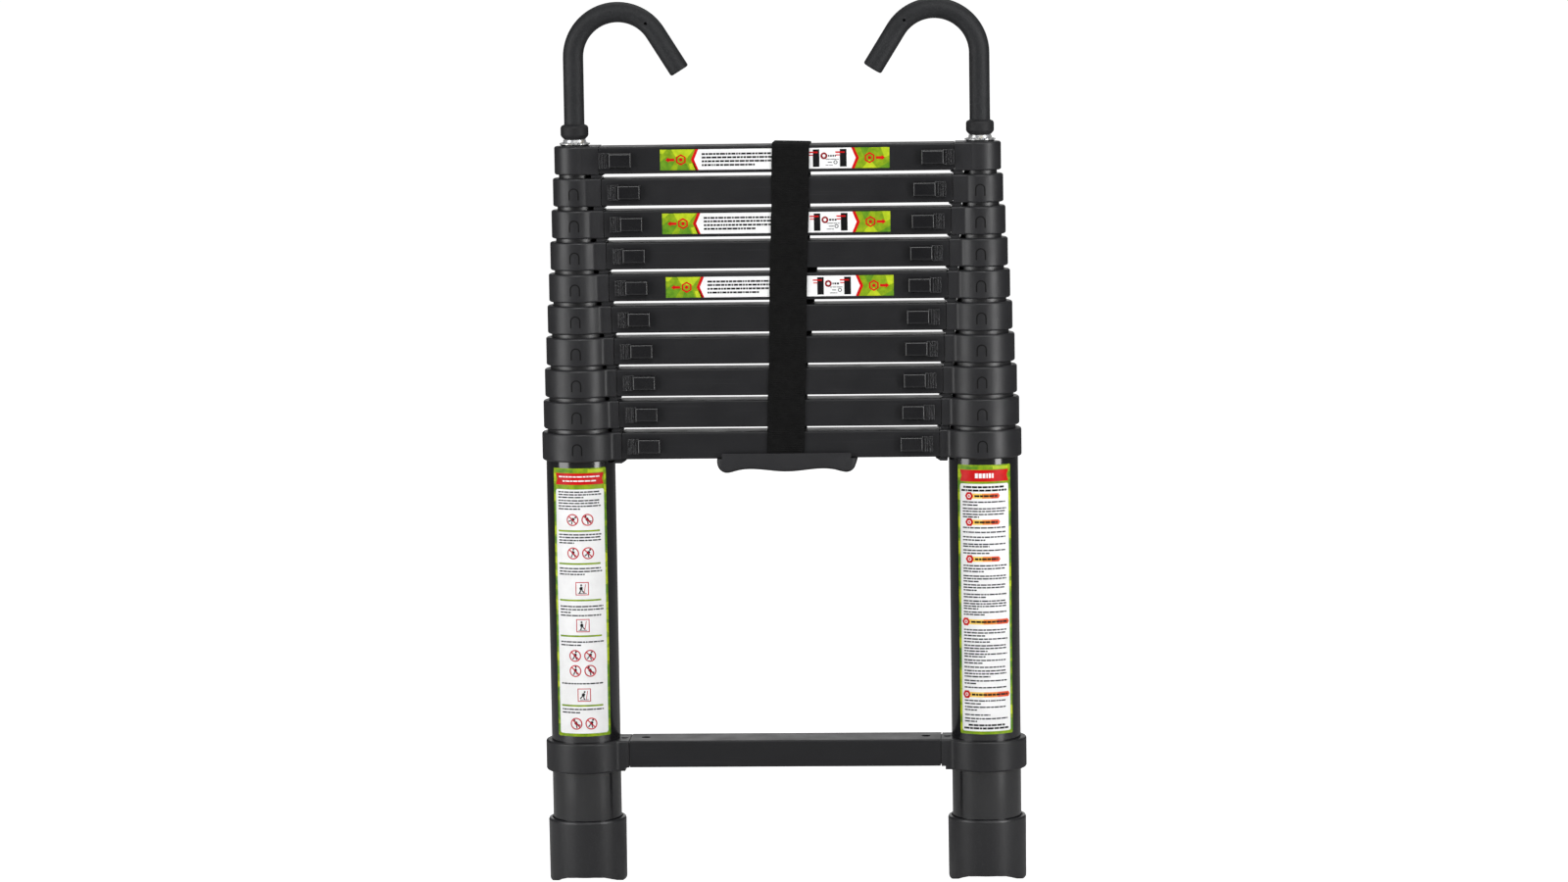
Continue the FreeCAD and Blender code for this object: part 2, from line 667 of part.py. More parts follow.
# ---------------------------------------------------------------- hooks
# Rubber-sleeved hook: leg, bend, limb and base cuff, with the stud that turns
# in its nut.
leg = cylinder("hook_leg", "@hook_radius", "@hook_bend_level - @cuff_level - @cuff_height + 1",
               "-@half_span", None, "@cuff_level + @cuff_height - 1")
bend = doc.addObject("Part::Torus", "hook_bend_piece")
bind(bend, "Radius1", q("@hook_bend"))
bind(bend, "Radius2", q("@hook_radius"))
bind(bend, "Angle3", q("@hook_sweep"))
# the bend starts on the stile axis and turns towards the middle
bend.Placement.Rotation = FreeCAD.Rotation(V(0, 1, 0), D["hook_sweep"] - 180).multiply(
    FreeCAD.Rotation(V(1, 0, 0), 90))
place(bend, "-@half_span + @hook_bend", None, "@hook_bend_level")
a = math.radians(D["hook_sweep"])
limb = doc.addObject("Part::Cylinder", "hook_limb_piece")
bind(limb, "Radius", q("@hook_radius"))
bind(limb, "Height", q("@hook_limb"))
limb.Placement.Rotation = FreeCAD.Rotation(V(0, 1, 0), D["hook_sweep"])
place(limb, "-@half_span + @hook_bend - @hook_bend * cos(@hook_sweep * 1 deg)", None,
      "@hook_bend_level + @hook_bend * sin(@hook_sweep * 1 deg)")
doc.recompute()
limb_round = doc.addObject("Part::Fillet", "hook_tip_round")
limb_round.Base = limb
tip = [i + 1 for i, e in enumerate(limb.Shape.Edges)
       if len(e.Vertexes) == 1 and abs(e.BoundBox.Center.z - limb.Shape.BoundBox.ZMin) < 12]
limb_round.Edges = [(tip[0], 2.0, 2.0)]
cuff = doc.addObject("PartDesign::Body", "hook_cuff")
sk = sketch(cuff, "cuff_half_section", "XZ_Plane")
cr, ch, hr, sr = D["cuff_radius"], D["cuff_height"], D["hook_radius"], D["stud_radius"]
polygon(sk, [("0", "-20", 0, -20), ("@stud_radius - 0.8", "-20", sr - 0.8, -20),
             ("@stud_radius", "-19", sr, -19), ("@stud_radius", "0", sr, 0),
             ("@cuff_radius - 3", "0", cr - 3, 0),
             ("@cuff_radius - 0.6", "2.6", cr - 0.6, 2.6),
             ("@cuff_radius", "4", cr, 4), ("@cuff_radius", "@cuff_height - 3.4", cr, ch - 3.4),
             ("@cuff_radius - 0.9", "@cuff_height - 1.6", cr - 0.9, ch - 1.6),
             ("@cuff_radius - 2.2", "@cuff_height - 1", cr - 2.2, ch - 1),
             ("@hook_radius - 0.6", "@cuff_height", hr - 0.6, ch),
             ("0", "@cuff_height", 0, ch)])
rev = cuff.newObject("PartDesign::Revolution", "cuff_turned")
rev.Profile = sk
rev.ReferenceAxis = (sk, ["V_Axis"])
rev.Angle = 360
place(cuff, "-@half_span", None, "@cuff_level")
hook_whole = fuse("hook_left_whole", [cuff, leg, bend, limb_round])
# small moulding hole and ejector mark on the bend
hook = cut("hook_left_solid", hook_whole, fuse("hook_marks", [
    cylinder("hook_hole", "1.5", "6", "-@half_span + 71", "-13", "@hook_bend_level + 31.8", "Y"),
    cylinder("hook_mark", "2.2", "3.4", "-@half_span + 37.2", "-13", "@hook_bend_level + 42.6", "Y")]))
node(hook, "hook_left")
node(mirrored("hook_right_solid", hook), "hook_right")

# zinc-plated serrated flange nuts on top of the upper collars
nut = doc.addObject("PartDesign::Body", "hook_nut")
sk = sketch(nut, "nut_half_section", "XZ_Plane")
nf, nb, ns, st = D["nut_flange"], D["nut_body"], D["nut_shank"], D["stud_radius"] + 0.08
polygon(sk, [("@stud_radius + 0.08", "-9", st, -9), ("@nut_shank", "-9", ns, -9),
             ("@nut_shank", "0", ns, 0), ("@nut_flange", "0", nf, 0),
             ("@nut_flange", "1.1", nf, 1.1), ("@nut_flange - 2.4", "1.9", nf - 2.4, 1.9),
             ("@nut_body", "1.9", nb, 1.9), ("@nut_body - 0.6", "4.5", nb - 0.6, 4.5),
             ("@stud_radius + 0.08", "4.5", st, 4.5)])
rev = nut.newObject("PartDesign::Revolution", "nut_turned")
rev.Profile = sk
rev.ReferenceAxis = (sk, ["V_Axis"])
rev.Angle = 360
doc.recompute()
sk = sketch(nut, "serration", "XY_Plane")
g = sk.addGeometry([line(nf - 1.5, 0, nf + 1, -1.0), line(nf + 1, -1.0, nf + 1, 1.0),
                    line(nf + 1, 1.0, nf - 1.5, 0)], False)
for i in range(3):
    con(sk, None, "Coincident", g[i], 2, g[(i + 1) % 3], 1)
notch = nut.newObject("PartDesign::Pocket", "serration_cut")
notch.Profile = sk
notch.Length = 3
notch.Reversed = True
doc.recompute()
ring = nut.newObject("PartDesign::PolarPattern", "serrations")
ring.Originals = [notch]
ring.Axis = (plane(nut, "Z_Axis"), [""])
ring.Angle = 360
ring.Occurrences = 20
nut.Tip = ring
place(nut, "-@half_span", None, level(SECTIONS) + " + @collar_height / 2 + @neck_height")
doc.recompute()
pair("hook_nuts", nut)

# ---------------------------------------------------------------- carry handle
# Moulded grip below the lowest stacked rung: scalloped underside, and a low lip
# in front of and behind the rung.
handle = doc.addObject("PartDesign::Body", "handle_grip")
sk = sketch(handle, "grip_side", "XZ_Plane")
pts = [(-67.0, 0.0), (-66.6, -6.5), (-63.6, -11.4), (-58.6, -13.6), (-53.0, -13.0),
       (-46.0, -11.2), (-37.0, -10.2), (-26.0, -10.6), (-13.0, -12.0), (0.0, -12.8)]
pts = pts + [(-x, z) for x, z in reversed(pts[:-1])]
spline = Part.BSplineCurve()
spline.interpolate([V(x, z, 0) for x, z in pts])
g = sk.addGeometry([spline, line(67.0, 0, -67.0, 0)], False)
grip = handle.newObject("PartDesign::Pad", "grip")
grip.Profile = sk
grip.Midplane = True
bind(grip, "Length", q("@handle_depth"))
doc.recompute()
hd = D["handle_depth"] / 2


def grip_edge(e):
    b = e.BoundBox
    return b.YLength < 1e-6 and b.XLength > 100 and b.ZLength > 5


rnd = handle.newObject("PartDesign::Fillet", "grip_round")
rnd.Base = (grip, edges_where(grip.Shape, grip_edge))
rnd.Radius = 4.0
doc.recompute()
zr = level(1) + " - @rung_height / 2"
place(handle, "@handle_centre", None, zr)
lips = []
for t, s in (("front", -1), ("rear", 1)):
    b = box("handle_lip_" + t, "124", "@handle_lip", "@handle_lip_height + 6",
            "@handle_centre - 62",
            "-@handle_depth / 2" if s < 0 else "@handle_depth / 2 - @handle_lip",
            zr + " - 6")
    lips.append(b)
doc.recompute()
grip_all = fuse("handle_blank", [handle] + lips)
screw_tools = []
for t, s in (("l", "-"), ("r", "+")):
    x = "@handle_centre %s @screw_spacing / 2" % s
    screw_tools.append(cylinder("handle_screw_way_" + t, "2", "40", x, None, zr + " - 20"))
    screw_tools.append(cylinder("handle_screw_seat_" + t, "3.8", "14", x, None, zr + " - 21"))
node(cut("handle_cut", grip_all, fuse("handle_tools", screw_tools)), "carry_handle")
screws = []
for t, s in (("l", "-"), ("r", "+")):
    x = "@handle_centre %s @screw_spacing / 2" % s
    screws.append(fuse("handle_screw_" + t, [
        cylinder("screw_shank_" + t, "2", "7 + @rung_wall + 2", x, None, zr + " - 7"),
        cylinder("screw_head_" + t, "3.6", "2.4", x, None, zr + " - 9.4")]))
node(group("handle_screw_set", screws), "handle_screws")

# ---------------------------------------------------------------- strap
# Webbing strap draped over the top rung, legs down the front and back of the
# stack, slightly out of square; its hook-and-loop end lies on the back leg.
strap_body = doc.addObject("PartDesign::Body", "strap_web")
sk = sketch(strap_body, "strap_side", "YZ_Plane")
yi = D["rung_depth"] / 2 + D["strap_gap"]
th = D["strap_thick"]
zi = 1.0
dr = D["strap_drop"]
ri, ro = 3.0, 3.0 + th
g = sk.addGeometry([
    line(-yi, -dr, -yi, zi - ri), arc(-yi + ri, zi - ri, ri, 90, 180),
    line(-yi + ri, zi, yi - ri, zi), arc(yi - ri, zi - ri, ri, 0, 90),
    line(yi, zi - ri, yi, -dr), line(yi, -dr, yi + th, -dr),
    line(yi + th, -dr, yi + th, zi - ri), arc(yi - ri, zi - ri, ro, 0, 90),
    line(yi - ri, zi + th, -yi + ri, zi + th), arc(-yi + ri, zi - ri, ro, 90, 180),
    line(-yi - th, zi - ri, -yi - th, -dr), line(-yi - th, -dr, -yi, -dr)], False)
ends = [(0, 2, 1, 2), (1, 1, 2, 1), (2, 2, 3, 2), (3, 1, 4, 1), (4, 2, 5, 1), (5, 2, 6, 1),
        (6, 2, 7, 1), (7, 2, 8, 1), (8, 2, 9, 1), (9, 2, 10, 1), (10, 2, 11, 1), (11, 2, 0, 1)]
for i, pi, j, pj in ends:
    con(sk, None, "Coincident", g[i], pi, g[j], pj)
web = strap_body.newObject("PartDesign::Pad", "strap_pad")
web.Profile = sk
web.Midplane = True
bind(web, "Length", q("@strap_width"))
strap_body.Placement.Rotation = FreeCAD.Rotation(V(0, 1, 0), D["strap_tilt"])
place(strap_body, "@strap_top_centre", None,
      level(SECTIONS) + " + @rung_height / 2")
tail = doc.addObject("Part::Box", "strap_tail")
bind(tail, "Length", q("@strap_width"))
bind(tail, "Width", q("@strap_thick"))
bind(tail, "Height", "96")
tail.Placement.Rotation = FreeCAD.Rotation(V(0, 1, 0), D["strap_tilt"] + 4.0)
place(tail, "@strap_top_centre - @strap_width / 2 - 2.4",
      "@rung_depth / 2 + @strap_gap + @strap_thick",
      level(SECTIONS) + " - 172")
node(group("strap_set", [strap_body, tail]), "strap")

# ---------------------------------------------------------------- check, write
doc.recompute()
bad = [o.Name for o in doc.Objects if "Invalid" in o.State or "Error" in o.State]
if bad:
    raise SystemExit("failed objects: " + ", ".join(bad))
labels = [o.Label for o in NODES]
if len(labels) != len(set(labels)):
    raise SystemExit("labels repeat")
for o in NODES:
    s = o.Shape
    if s.isNull() or not s.isValid() or not s.Solids:
        raise SystemExit("bad shape: " + o.Label)
    if abs(s.Volume) < 1:
        raise SystemExit("empty: " + o.Label)
os.makedirs("parts", exist_ok=True)
total = 0.0
for o in NODES:
    o.Shape.exportStep("parts/%s.step" % o.Label)
    total += o.Shape.Volume
    print("%-18s solids %d  faces %4d  volume %.0f" %
          (o.Label, len(o.Shape.Solids), len(o.Shape.Faces), o.Shape.Volume))
print(len(NODES), "nodes, volume", round(total))
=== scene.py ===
import bpy
import bmesh
import json
import math
import random
from mathutils import Matrix, Vector


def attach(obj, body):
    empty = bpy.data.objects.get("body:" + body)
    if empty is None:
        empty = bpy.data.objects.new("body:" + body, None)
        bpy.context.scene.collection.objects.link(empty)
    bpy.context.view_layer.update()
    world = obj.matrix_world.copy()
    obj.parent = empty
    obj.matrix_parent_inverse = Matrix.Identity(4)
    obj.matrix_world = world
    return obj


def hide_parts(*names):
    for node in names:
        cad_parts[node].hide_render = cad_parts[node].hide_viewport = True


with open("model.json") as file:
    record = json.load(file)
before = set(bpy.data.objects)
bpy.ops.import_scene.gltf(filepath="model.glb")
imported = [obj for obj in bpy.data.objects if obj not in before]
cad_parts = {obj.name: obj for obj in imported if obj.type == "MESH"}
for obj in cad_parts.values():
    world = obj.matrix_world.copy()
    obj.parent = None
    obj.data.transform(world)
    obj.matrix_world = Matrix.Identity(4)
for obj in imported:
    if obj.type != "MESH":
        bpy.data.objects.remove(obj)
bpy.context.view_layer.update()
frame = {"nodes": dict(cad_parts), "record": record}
scene = bpy.context.scene
MM = 0.001
WORLD_LIGHT = 0.055

# ------------------------------------------------------------------ camera
cam_data = bpy.data.cameras.new("camera")
cam = bpy.data.objects.new("camera", cam_data)
scene.collection.objects.link(cam)
scene.camera = cam
yaw, pitch, roll = 0.0560, 0.1127, -0.0150
r0 = Vector((math.cos(yaw), math.sin(yaw), 0))
f0 = Vector((-math.sin(yaw), math.cos(yaw), 0))
fwd = f0 * math.cos(pitch) + Vector((0, 0, -math.sin(pitch)))
u0 = f0 * math.sin(pitch) + Vector((0, 0, math.cos(pitch)))
right = r0 * math.cos(roll) + u0 * math.sin(roll)
up = -r0 * math.sin(roll) + u0 * math.cos(roll)
rot = Matrix((right, up, -fwd)).transposed()
cam.matrix_world = Matrix.Translation((0.270411, -4.779451, 0.970483)) @ rot.to_4x4()
cam_data.sensor_fit = "HORIZONTAL"
cam_data.sensor_width = 36.0
cam_data.lens = 5091.0316 / 1600 * 36.0
cam_data.clip_start, cam_data.clip_end = 0.1, 200

# ------------------------------------------------------------------ stage
scene.view_settings.view_transform = "Standard"
scene.view_settings.look = "None"

world = bpy.data.worlds.new("studio")
scene.world = world
world.use_nodes = True
wn = world.node_tree.nodes
wl = world.node_tree.links
wn.clear()
w_out = wn.new("ShaderNodeOutputWorld")
w_bg = wn.new("ShaderNodeBackground")
w_bg.inputs["Color"].default_value = (1.0, 1.0, 1.0, 1)
w_seen = wn.new("ShaderNodeLightPath")
w_level = wn.new("ShaderNodeMapRange")  # a white studio that adds little light of its own
w_level.inputs["To Min"].default_value = WORLD_LIGHT
w_level.inputs["To Max"].default_value = 1.0
wl.new(w_seen.outputs["Is Camera Ray"], w_level.inputs["Value"])
wl.new(w_level.outputs["Result"], w_bg.inputs["Strength"])
wl.new(w_bg.outputs[0], w_out.inputs[0])


def softbox(name, azimuth, distance, height, size_x, size_y, power, aim=(0, 0, 0.45)):
    """Area light. Azimuth 0 is in front of the ladder (-Y), positive to the right."""
    a = math.radians(azimuth)
    loc = Vector((math.sin(a) * distance, -math.cos(a) * distance, height))
    d = bpy.data.lights.new(name, "AREA")
    d.shape = "RECTANGLE"
    d.size, d.size_y = size_x, size_y
    d.energy = power
    o = bpy.data.objects.new(name, d)
    o.location = loc
    o.rotation_mode = "QUATERNION"
    o.rotation_quaternion = (Vector(aim) - loc).to_track_quat("-Z", "Y")
    scene.collection.objects.link(o)
    return o


softbox("softbox_left", -59, 1.3, 0.55, 0.72, 1.9, 15)
softbox("softbox_right", 56, 1.3, 0.55, 0.42, 1.9, 15)
softbox("softbox_front", 8, 2.4, 3.0, 2.4, 1.4, 50)
softbox("softbox_top", 170, 1.2, 3.2, 3.0, 1.6, 28)
back = softbox("panel_back", 180, 4.2, 1.0, 3.2, 1.3, 16, (0, 0, 0.5))
back.visible_camera = False

me = bpy.data.meshes.new("floor")
bm = bmesh.new()
bmesh.ops.create_grid(bm, x_segments=8, y_segments=8, size=40)
bm.to_mesh(me)
bm.free()
floor = bpy.data.objects.new("floor", me)
floor.location = (0, 0, -0.0003)
scene.collection.objects.link(floor)


# ------------------------------------------------------------------ nodes
class Nodes:
    def __init__(self, name):
        self.mat = bpy.data.materials.new(name)
        self.mat.use_nodes = True
        self.nt = self.mat.node_tree
        self.nt.nodes.clear()
        self.out = self.nt.nodes.new("ShaderNodeOutputMaterial")
        self.b = self.nt.nodes.new("ShaderNodeBsdfPrincipled")
        self.nt.links.new(self.b.outputs[0], self.out.inputs[0])
        self.tc = self.nt.nodes.new("ShaderNodeTexCoord")
        self.obj = self.tc.outputs["Object"]

    def add(self, kind, **props):
        n = self.nt.nodes.new(kind)
        for k, v in props.items():
            setattr(n, k, v)
        return n

    def link(self, a, b):
        self.nt.links.new(a, b)

    def scaled(self, s):
        """Object coordinates times a vector."""
        m = self.add("ShaderNodeMapping")
        m.inputs["Scale"].default_value = s if hasattr(s, "__len__") else (s, s, s)
        self.link(self.obj, m.inputs["Vector"])
        return m.outputs[0]

    def noise(self, scale, detail=2.0, rough=0.5, vec=None, distortion=0.0):
        n = self.add("ShaderNodeTexNoise")
        n.inputs["Scale"].default_value = scale
        n.inputs["Detail"].default_value = detail
        n.inputs["Roughness"].default_value = rough
        n.inputs["Distortion"].default_value = distortion
        self.link(vec if vec is not None else self.obj, n.inputs["Vector"])
        return n.outputs["Fac"]

    def voronoi(self, scale, vec=None, feature="F1", out="Distance"):
        n = self.add("ShaderNodeTexVoronoi", feature=feature)
        n.inputs["Scale"].default_value = scale
        self.link(vec if vec is not None else self.obj, n.inputs["Vector"])
        return n.outputs[out]

    def math(self, op, a, b=None, clamp=False):
        n = self.add("ShaderNodeMath", operation=op, use_clamp=clamp)
        for i, v in enumerate((a, b)):
            if v is None:
                continue
            if isinstance(v, (int, float)):
                n.inputs[i].default_value = v
            else:
                self.link(v, n.inputs[i])
        return n.outputs[0]

    def span(self, v, a, b, c=0.0, d=1.0):
        """Map a..b to c..d, clamped."""
        n = self.add("ShaderNodeMapRange")
        n.clamp = True
        n.inputs["From Min"].default_value = a
        n.inputs["From Max"].default_value = b
        n.inputs["To Min"].default_value = c
        n.inputs["To Max"].default_value = d
        self.link(v, n.inputs["Value"])
        return n.outputs["Result"]

    def mix(self, fac, a, b):
        n = self.add("ShaderNodeMix", data_type="RGBA")
        if isinstance(fac, (int, float)):
            n.inputs[0].default_value = fac
        else:
            self.link(fac, n.inputs[0])
        for i, v in ((6, a), (7, b)):
            if isinstance(v, (tuple, list)):
                n.inputs[i].default_value = tuple(v) + (1,) if len(v) == 3 else v
            else:
                self.link(v, n.inputs[i])
        return n.outputs[2]

    def axis(self, i):
        n = self.add("ShaderNodeSeparateXYZ")
        self.link(self.obj, n.inputs[0])
        return n.outputs[i]

    def bevel(self, radius, samples=4):
        n = self.add("ShaderNodeBevel", samples=samples)
        n.inputs["Radius"].default_value = radius
        return n.outputs[0]

    def edge_mask(self, radius, lo=0.985, hi=0.90):
        """1 on edges, 0 on flats: how far the rounded normal leans away."""
        bv = self.bevel(radius)
        g = self.add("ShaderNodeNewGeometry")
        dot = self.add("ShaderNodeVectorMath", operation="DOT_PRODUCT")
        self.link(bv, dot.inputs[0])
        self.link(g.outputs["Normal"], dot.inputs[1])
        return self.span(dot.outputs["Value"], lo, hi)

    def bump(self, height, distance, strength=1.0, normal=None):
        n = self.add("ShaderNodeBump")
        n.inputs["Strength"].default_value = strength
        n.inputs["Distance"].default_value = distance
        self.link(height, n.inputs["Height"])
        if normal is not None:
            self.link(normal, n.inputs["Normal"])
        return n.outputs[0]

    def set(self, name, v):
        s = self.b.inputs[name]
        if isinstance(v, (int, float)):
            s.default_value = v
        elif isinstance(v, (tuple, list)):
            s.default_value = tuple(v) + (1,) if len(v) == 3 else v
        else:
            self.link(v, s)


def srgb(r, g=None, b=None):
    if g is None:
        g = b = r
    return tuple(((c / 255 + 0.055) / 1.055) ** 2.4 if c / 255 > 0.04045 else c / 255 / 12.92
                 for c in (r, g, b))


# ------------------------------------------------------------------ finishes
def coat(name, low, high, rough, spec, grain, grain_depth, edge_wear_highlight, edge_wear_highlight_tint,
         mottle=7.0, rough_var=0.05, bevel=0.0005, streak=None, speck=0.35,
         edge_breakup=(0.40, 0.62), upper_rough=None):
    """A dark coating: slow colour drift, fine grain, lighter edges that are partly wear and partly painted highlight.
    """
    n = Nodes(name)
    drift = n.span(n.noise(mottle, 4, 0.55), 0.3, 0.7)
    fine = n.noise(grain, 2, 0.6)
    base = n.mix(drift, low, high)
    base = n.mix(n.math("MULTIPLY", n.span(fine, 0.52, 0.75), speck), base,
                 tuple(min(1, c * 2.1 + 0.004) for c in high))
    if streak is not None:
        vec = n.scaled(streak)
        lines = n.span(n.noise(1.0, 3, 0.6, vec), 0.60, 0.72)
        patch = n.span(n.noise(13, 2, 0.5), 0.46, 0.62)
        base = n.mix(n.math("MULTIPLY", n.math("MULTIPLY", lines, patch), 0.5), base,
                     tuple(min(1, c * 2.4 + 0.006) for c in high))
    # edges tinted lighter: partly edge wear, partly painted highlight for light caught on rounded edges
    edge = n.edge_mask(bevel)
    broken = n.span(n.noise(260, 4, 0.65), *edge_breakup)
    edge = n.math("MULTIPLY", edge, broken)
    base = n.mix(n.math("MULTIPLY", edge, edge_wear_highlight), base, edge_wear_highlight_tint)
    n.set("Base Color", base)
    r = n.span(n.noise(36, 3, 0.6), 0.3, 0.7, rough - rough_var, rough + rough_var)
    if upper_rough is not None:  # the sliding tubes are dulled by their glide bushes
        r = n.math("ADD", r, n.span(n.axis(2), 0.425, 0.445, 0.0, upper_rough - rough))
    n.set("Roughness", r)
    n.set("Specular IOR Level", spec)
    n.set("Normal", n.bump(fine, grain_depth, 1.0, n.bevel(bevel)))
    return n.mat


MATS = {
    "stile_black": coat("powder_coat_stile", srgb(20, 20, 22), srgb(25, 25, 27), 0.17, 1.0,
                        1150, 0.000008, 0.4, srgb(104, 104, 106), streak=(520, 520, 7),
                        upper_rough=0.42),
    "rung_black": coat("powder_coat_rung", srgb(28, 28, 30), srgb(33, 33, 35), 0.42, 0.38,
                       1300, 0.00001, 0.30, srgb(92, 92, 94), streak=(7, 420, 620)),
    "collar_black": coat("nylon_collar", srgb(31, 31, 33), srgb(38, 38, 40), 0.42, 0.48,
                         1500, 0.000014, 0.30, srgb(100, 100, 102), bevel=0.0004),
    # the latch's strong, nearly unbroken edge tint is mostly painted highlight on its ribs and block edges
    "latch_black": coat("nylon_latch", srgb(21, 21, 23), srgb(27, 27, 29), 0.26, 0.65,
                        1700, 0.00001, 0.95, srgb(104, 104, 106), bevel=0.0006,
                        edge_breakup=(0.18, 0.36)),
    "foot_rubber": coat("rubber_foot", srgb(32, 32, 34), srgb(40, 40, 42), 0.36, 0.56,
                        900, 0.00002, 0.25, srgb(92, 92, 94), mottle=11, bevel=0.0006),
    "handle_black": coat("plastic_handle", srgb(35, 35, 37), srgb(43, 43, 45), 0.48, 0.42,
                         1500, 0.00008, 0.35, srgb(100, 100, 102), bevel=0.0005),
    "rivet_black": coat("rivet_finish", srgb(40, 40, 42), srgb(50, 50, 52), 0.40, 0.5,
                        1600, 0.00005, 0.5, srgb(140, 140, 142), bevel=0.0003),
}


def hook_finish():
    n = Nodes("rubber_hook")
    z = n.axis(2)
    sleeve = n.span(z, 0.7375, 0.7378)  # cuff below, sleeve above
    drift = n.span(n.noise(26, 4, 0.6), 0.3, 0.7)
    grain = n.noise(640, 4, 0.7)
    pits = n.voronoi(900)
    col_s = n.mix(drift, srgb(24, 25, 27), srgb(33, 34, 36))
    col_s = n.mix(n.math("MULTIPLY", n.span(grain, 0.5, 0.72), 0.5), col_s, srgb(58, 59, 62))
    col_c = n.mix(drift, srgb(24, 24, 26), srgb(32, 32, 34))
    col = n.mix(sleeve, col_c, col_s)
    edge = n.math("MULTIPLY", n.edge_mask(0.0007), n.span(n.noise(240, 3, 0.6), 0.4, 0.6))
    col = n.mix(n.math("MULTIPLY", edge, 0.35), col, srgb(120, 120, 122))
    n.set("Base Color", col)
    n.set("Roughness", n.span(sleeve, 0, 1, 0.62, 0.58))
    n.set("Specular IOR Level", 0.36)
    h = n.math("ADD", grain, n.math("MULTIPLY", pits, 0.6))
    n.set("Normal", n.bump(h, 0.00016, 0.9, n.bevel(0.0007)))
    return n.mat


def zinc_finish():
    n = Nodes("zinc_plate")
    spangle = n.noise(210, 3, 0.6)
    col = n.mix(n.span(spangle, 0.35, 0.65), srgb(186, 188, 192), srgb(226, 226, 224))
    col = n.mix(n.span(n.noise(90, 4, 0.7), 0.60, 0.74), col, srgb(196, 178, 132))
    n.set("Base Color", col)
    n.set("Metallic", 0.55)
    n.set("Roughness", n.span(n.noise(420, 2, 0.5), 0.3, 0.7, 0.22, 0.38))
    # fine noise bump
    n.set("Normal", n.bump(n.noise(900, 2, 0.5), 0.00008, 0.7, n.bevel(0.0004)))
    return n.mat


def webbing_finish():
    n = Nodes("webbing_weave")
    # yarns run along the strap; picks cross it
    yarn = n.add("ShaderNodeTexWave", wave_type="BANDS", bands_direction="X")
    yarn.inputs["Scale"].default_value = 330
    yarn.inputs["Distortion"].default_value = 0.6
    yarn.inputs["Detail"].default_value = 1.5
    yarn.inputs["Detail Scale"].default_value = 2.5
    n.link(n.obj, yarn.inputs["Vector"])
    fuzz = n.noise(1900, 3, 0.65)
    slow = n.span(n.noise(55, 3, 0.6), 0.3, 0.7)
    base = n.mix(slow, srgb(4, 4, 4), srgb(9, 9, 9))
    base = n.mix(n.math("MULTIPLY", n.span(fuzz, 0.5, 0.75), 0.45), base, srgb(25, 25, 24))
    base = n.mix(n.math("MULTIPLY", yarn.outputs["Fac"], 0.3), base, srgb(15, 15, 15))
    n.set("Base Color", base)
    n.set("Roughness", n.span(n.noise(160, 3, 0.6), 0.3, 0.7, 0.68, 0.86))
    n.set("Specular IOR Level", 0.16)
    n.set("Sheen Weight", 0.02)
    n.set("Sheen Roughness", 0.5)
    h = n.math("ADD", n.math("MULTIPLY", yarn.outputs["Fac"], 0.7), fuzz)
    n.set("Normal", n.bump(h, 0.00022, 0.9))
    return n.mat


def loop_finish(name, low, high):
    """Hook-and-loop patch: short dense pile."""
    n = Nodes(name)
    pile = n.voronoi(1400)
    fuzz = n.noise(900, 4, 0.7)
    n.set("Base Color", n.mix(n.span(pile, 0.1, 0.6), high, low))
    n.set("Roughness", n.span(fuzz, 0.3, 0.7, 0.8, 0.95))
    n.set("Specular IOR Level", 0.2)
    n.set("Sheen Weight", 0.2)
    n.set("Normal", n.bump(n.math("ADD", pile, fuzz), 0.0004, 1.0))
    return n.mat


def thread_finish():
    n = Nodes("stitch_thread")
    tw = n.noise(2400, 2, 0.5)
    n.set("Base Color", n.mix(tw, srgb(30, 30, 30), srgb(52, 52, 52)))
    n.set("Roughness", n.span(tw, 0.3, 0.7, 0.5, 0.7))
    n.set("Normal", n.bump(tw, 0.00008, 0.8))
    return n.mat


def print_finish(name, low, high, scale=120.0, rough=0.42):
    """Printed vinyl: faint ink mottle and film texture."""
    n = Nodes(name)
    ink = n.noise(scale, 4, 0.6)
    n.set("Base Color", n.mix(n.span(ink, 0.38, 0.62), low, high))
    n.set("Roughness", n.span(n.noise(70, 3, 0.5), 0.3, 0.7, rough - 0.06, rough + 0.08))
    n.set("Specular IOR Level", 0.22)
    n.set("Normal", n.bump(n.noise(650, 2, 0.5), 0.00002, 0.6))
    return n.mat


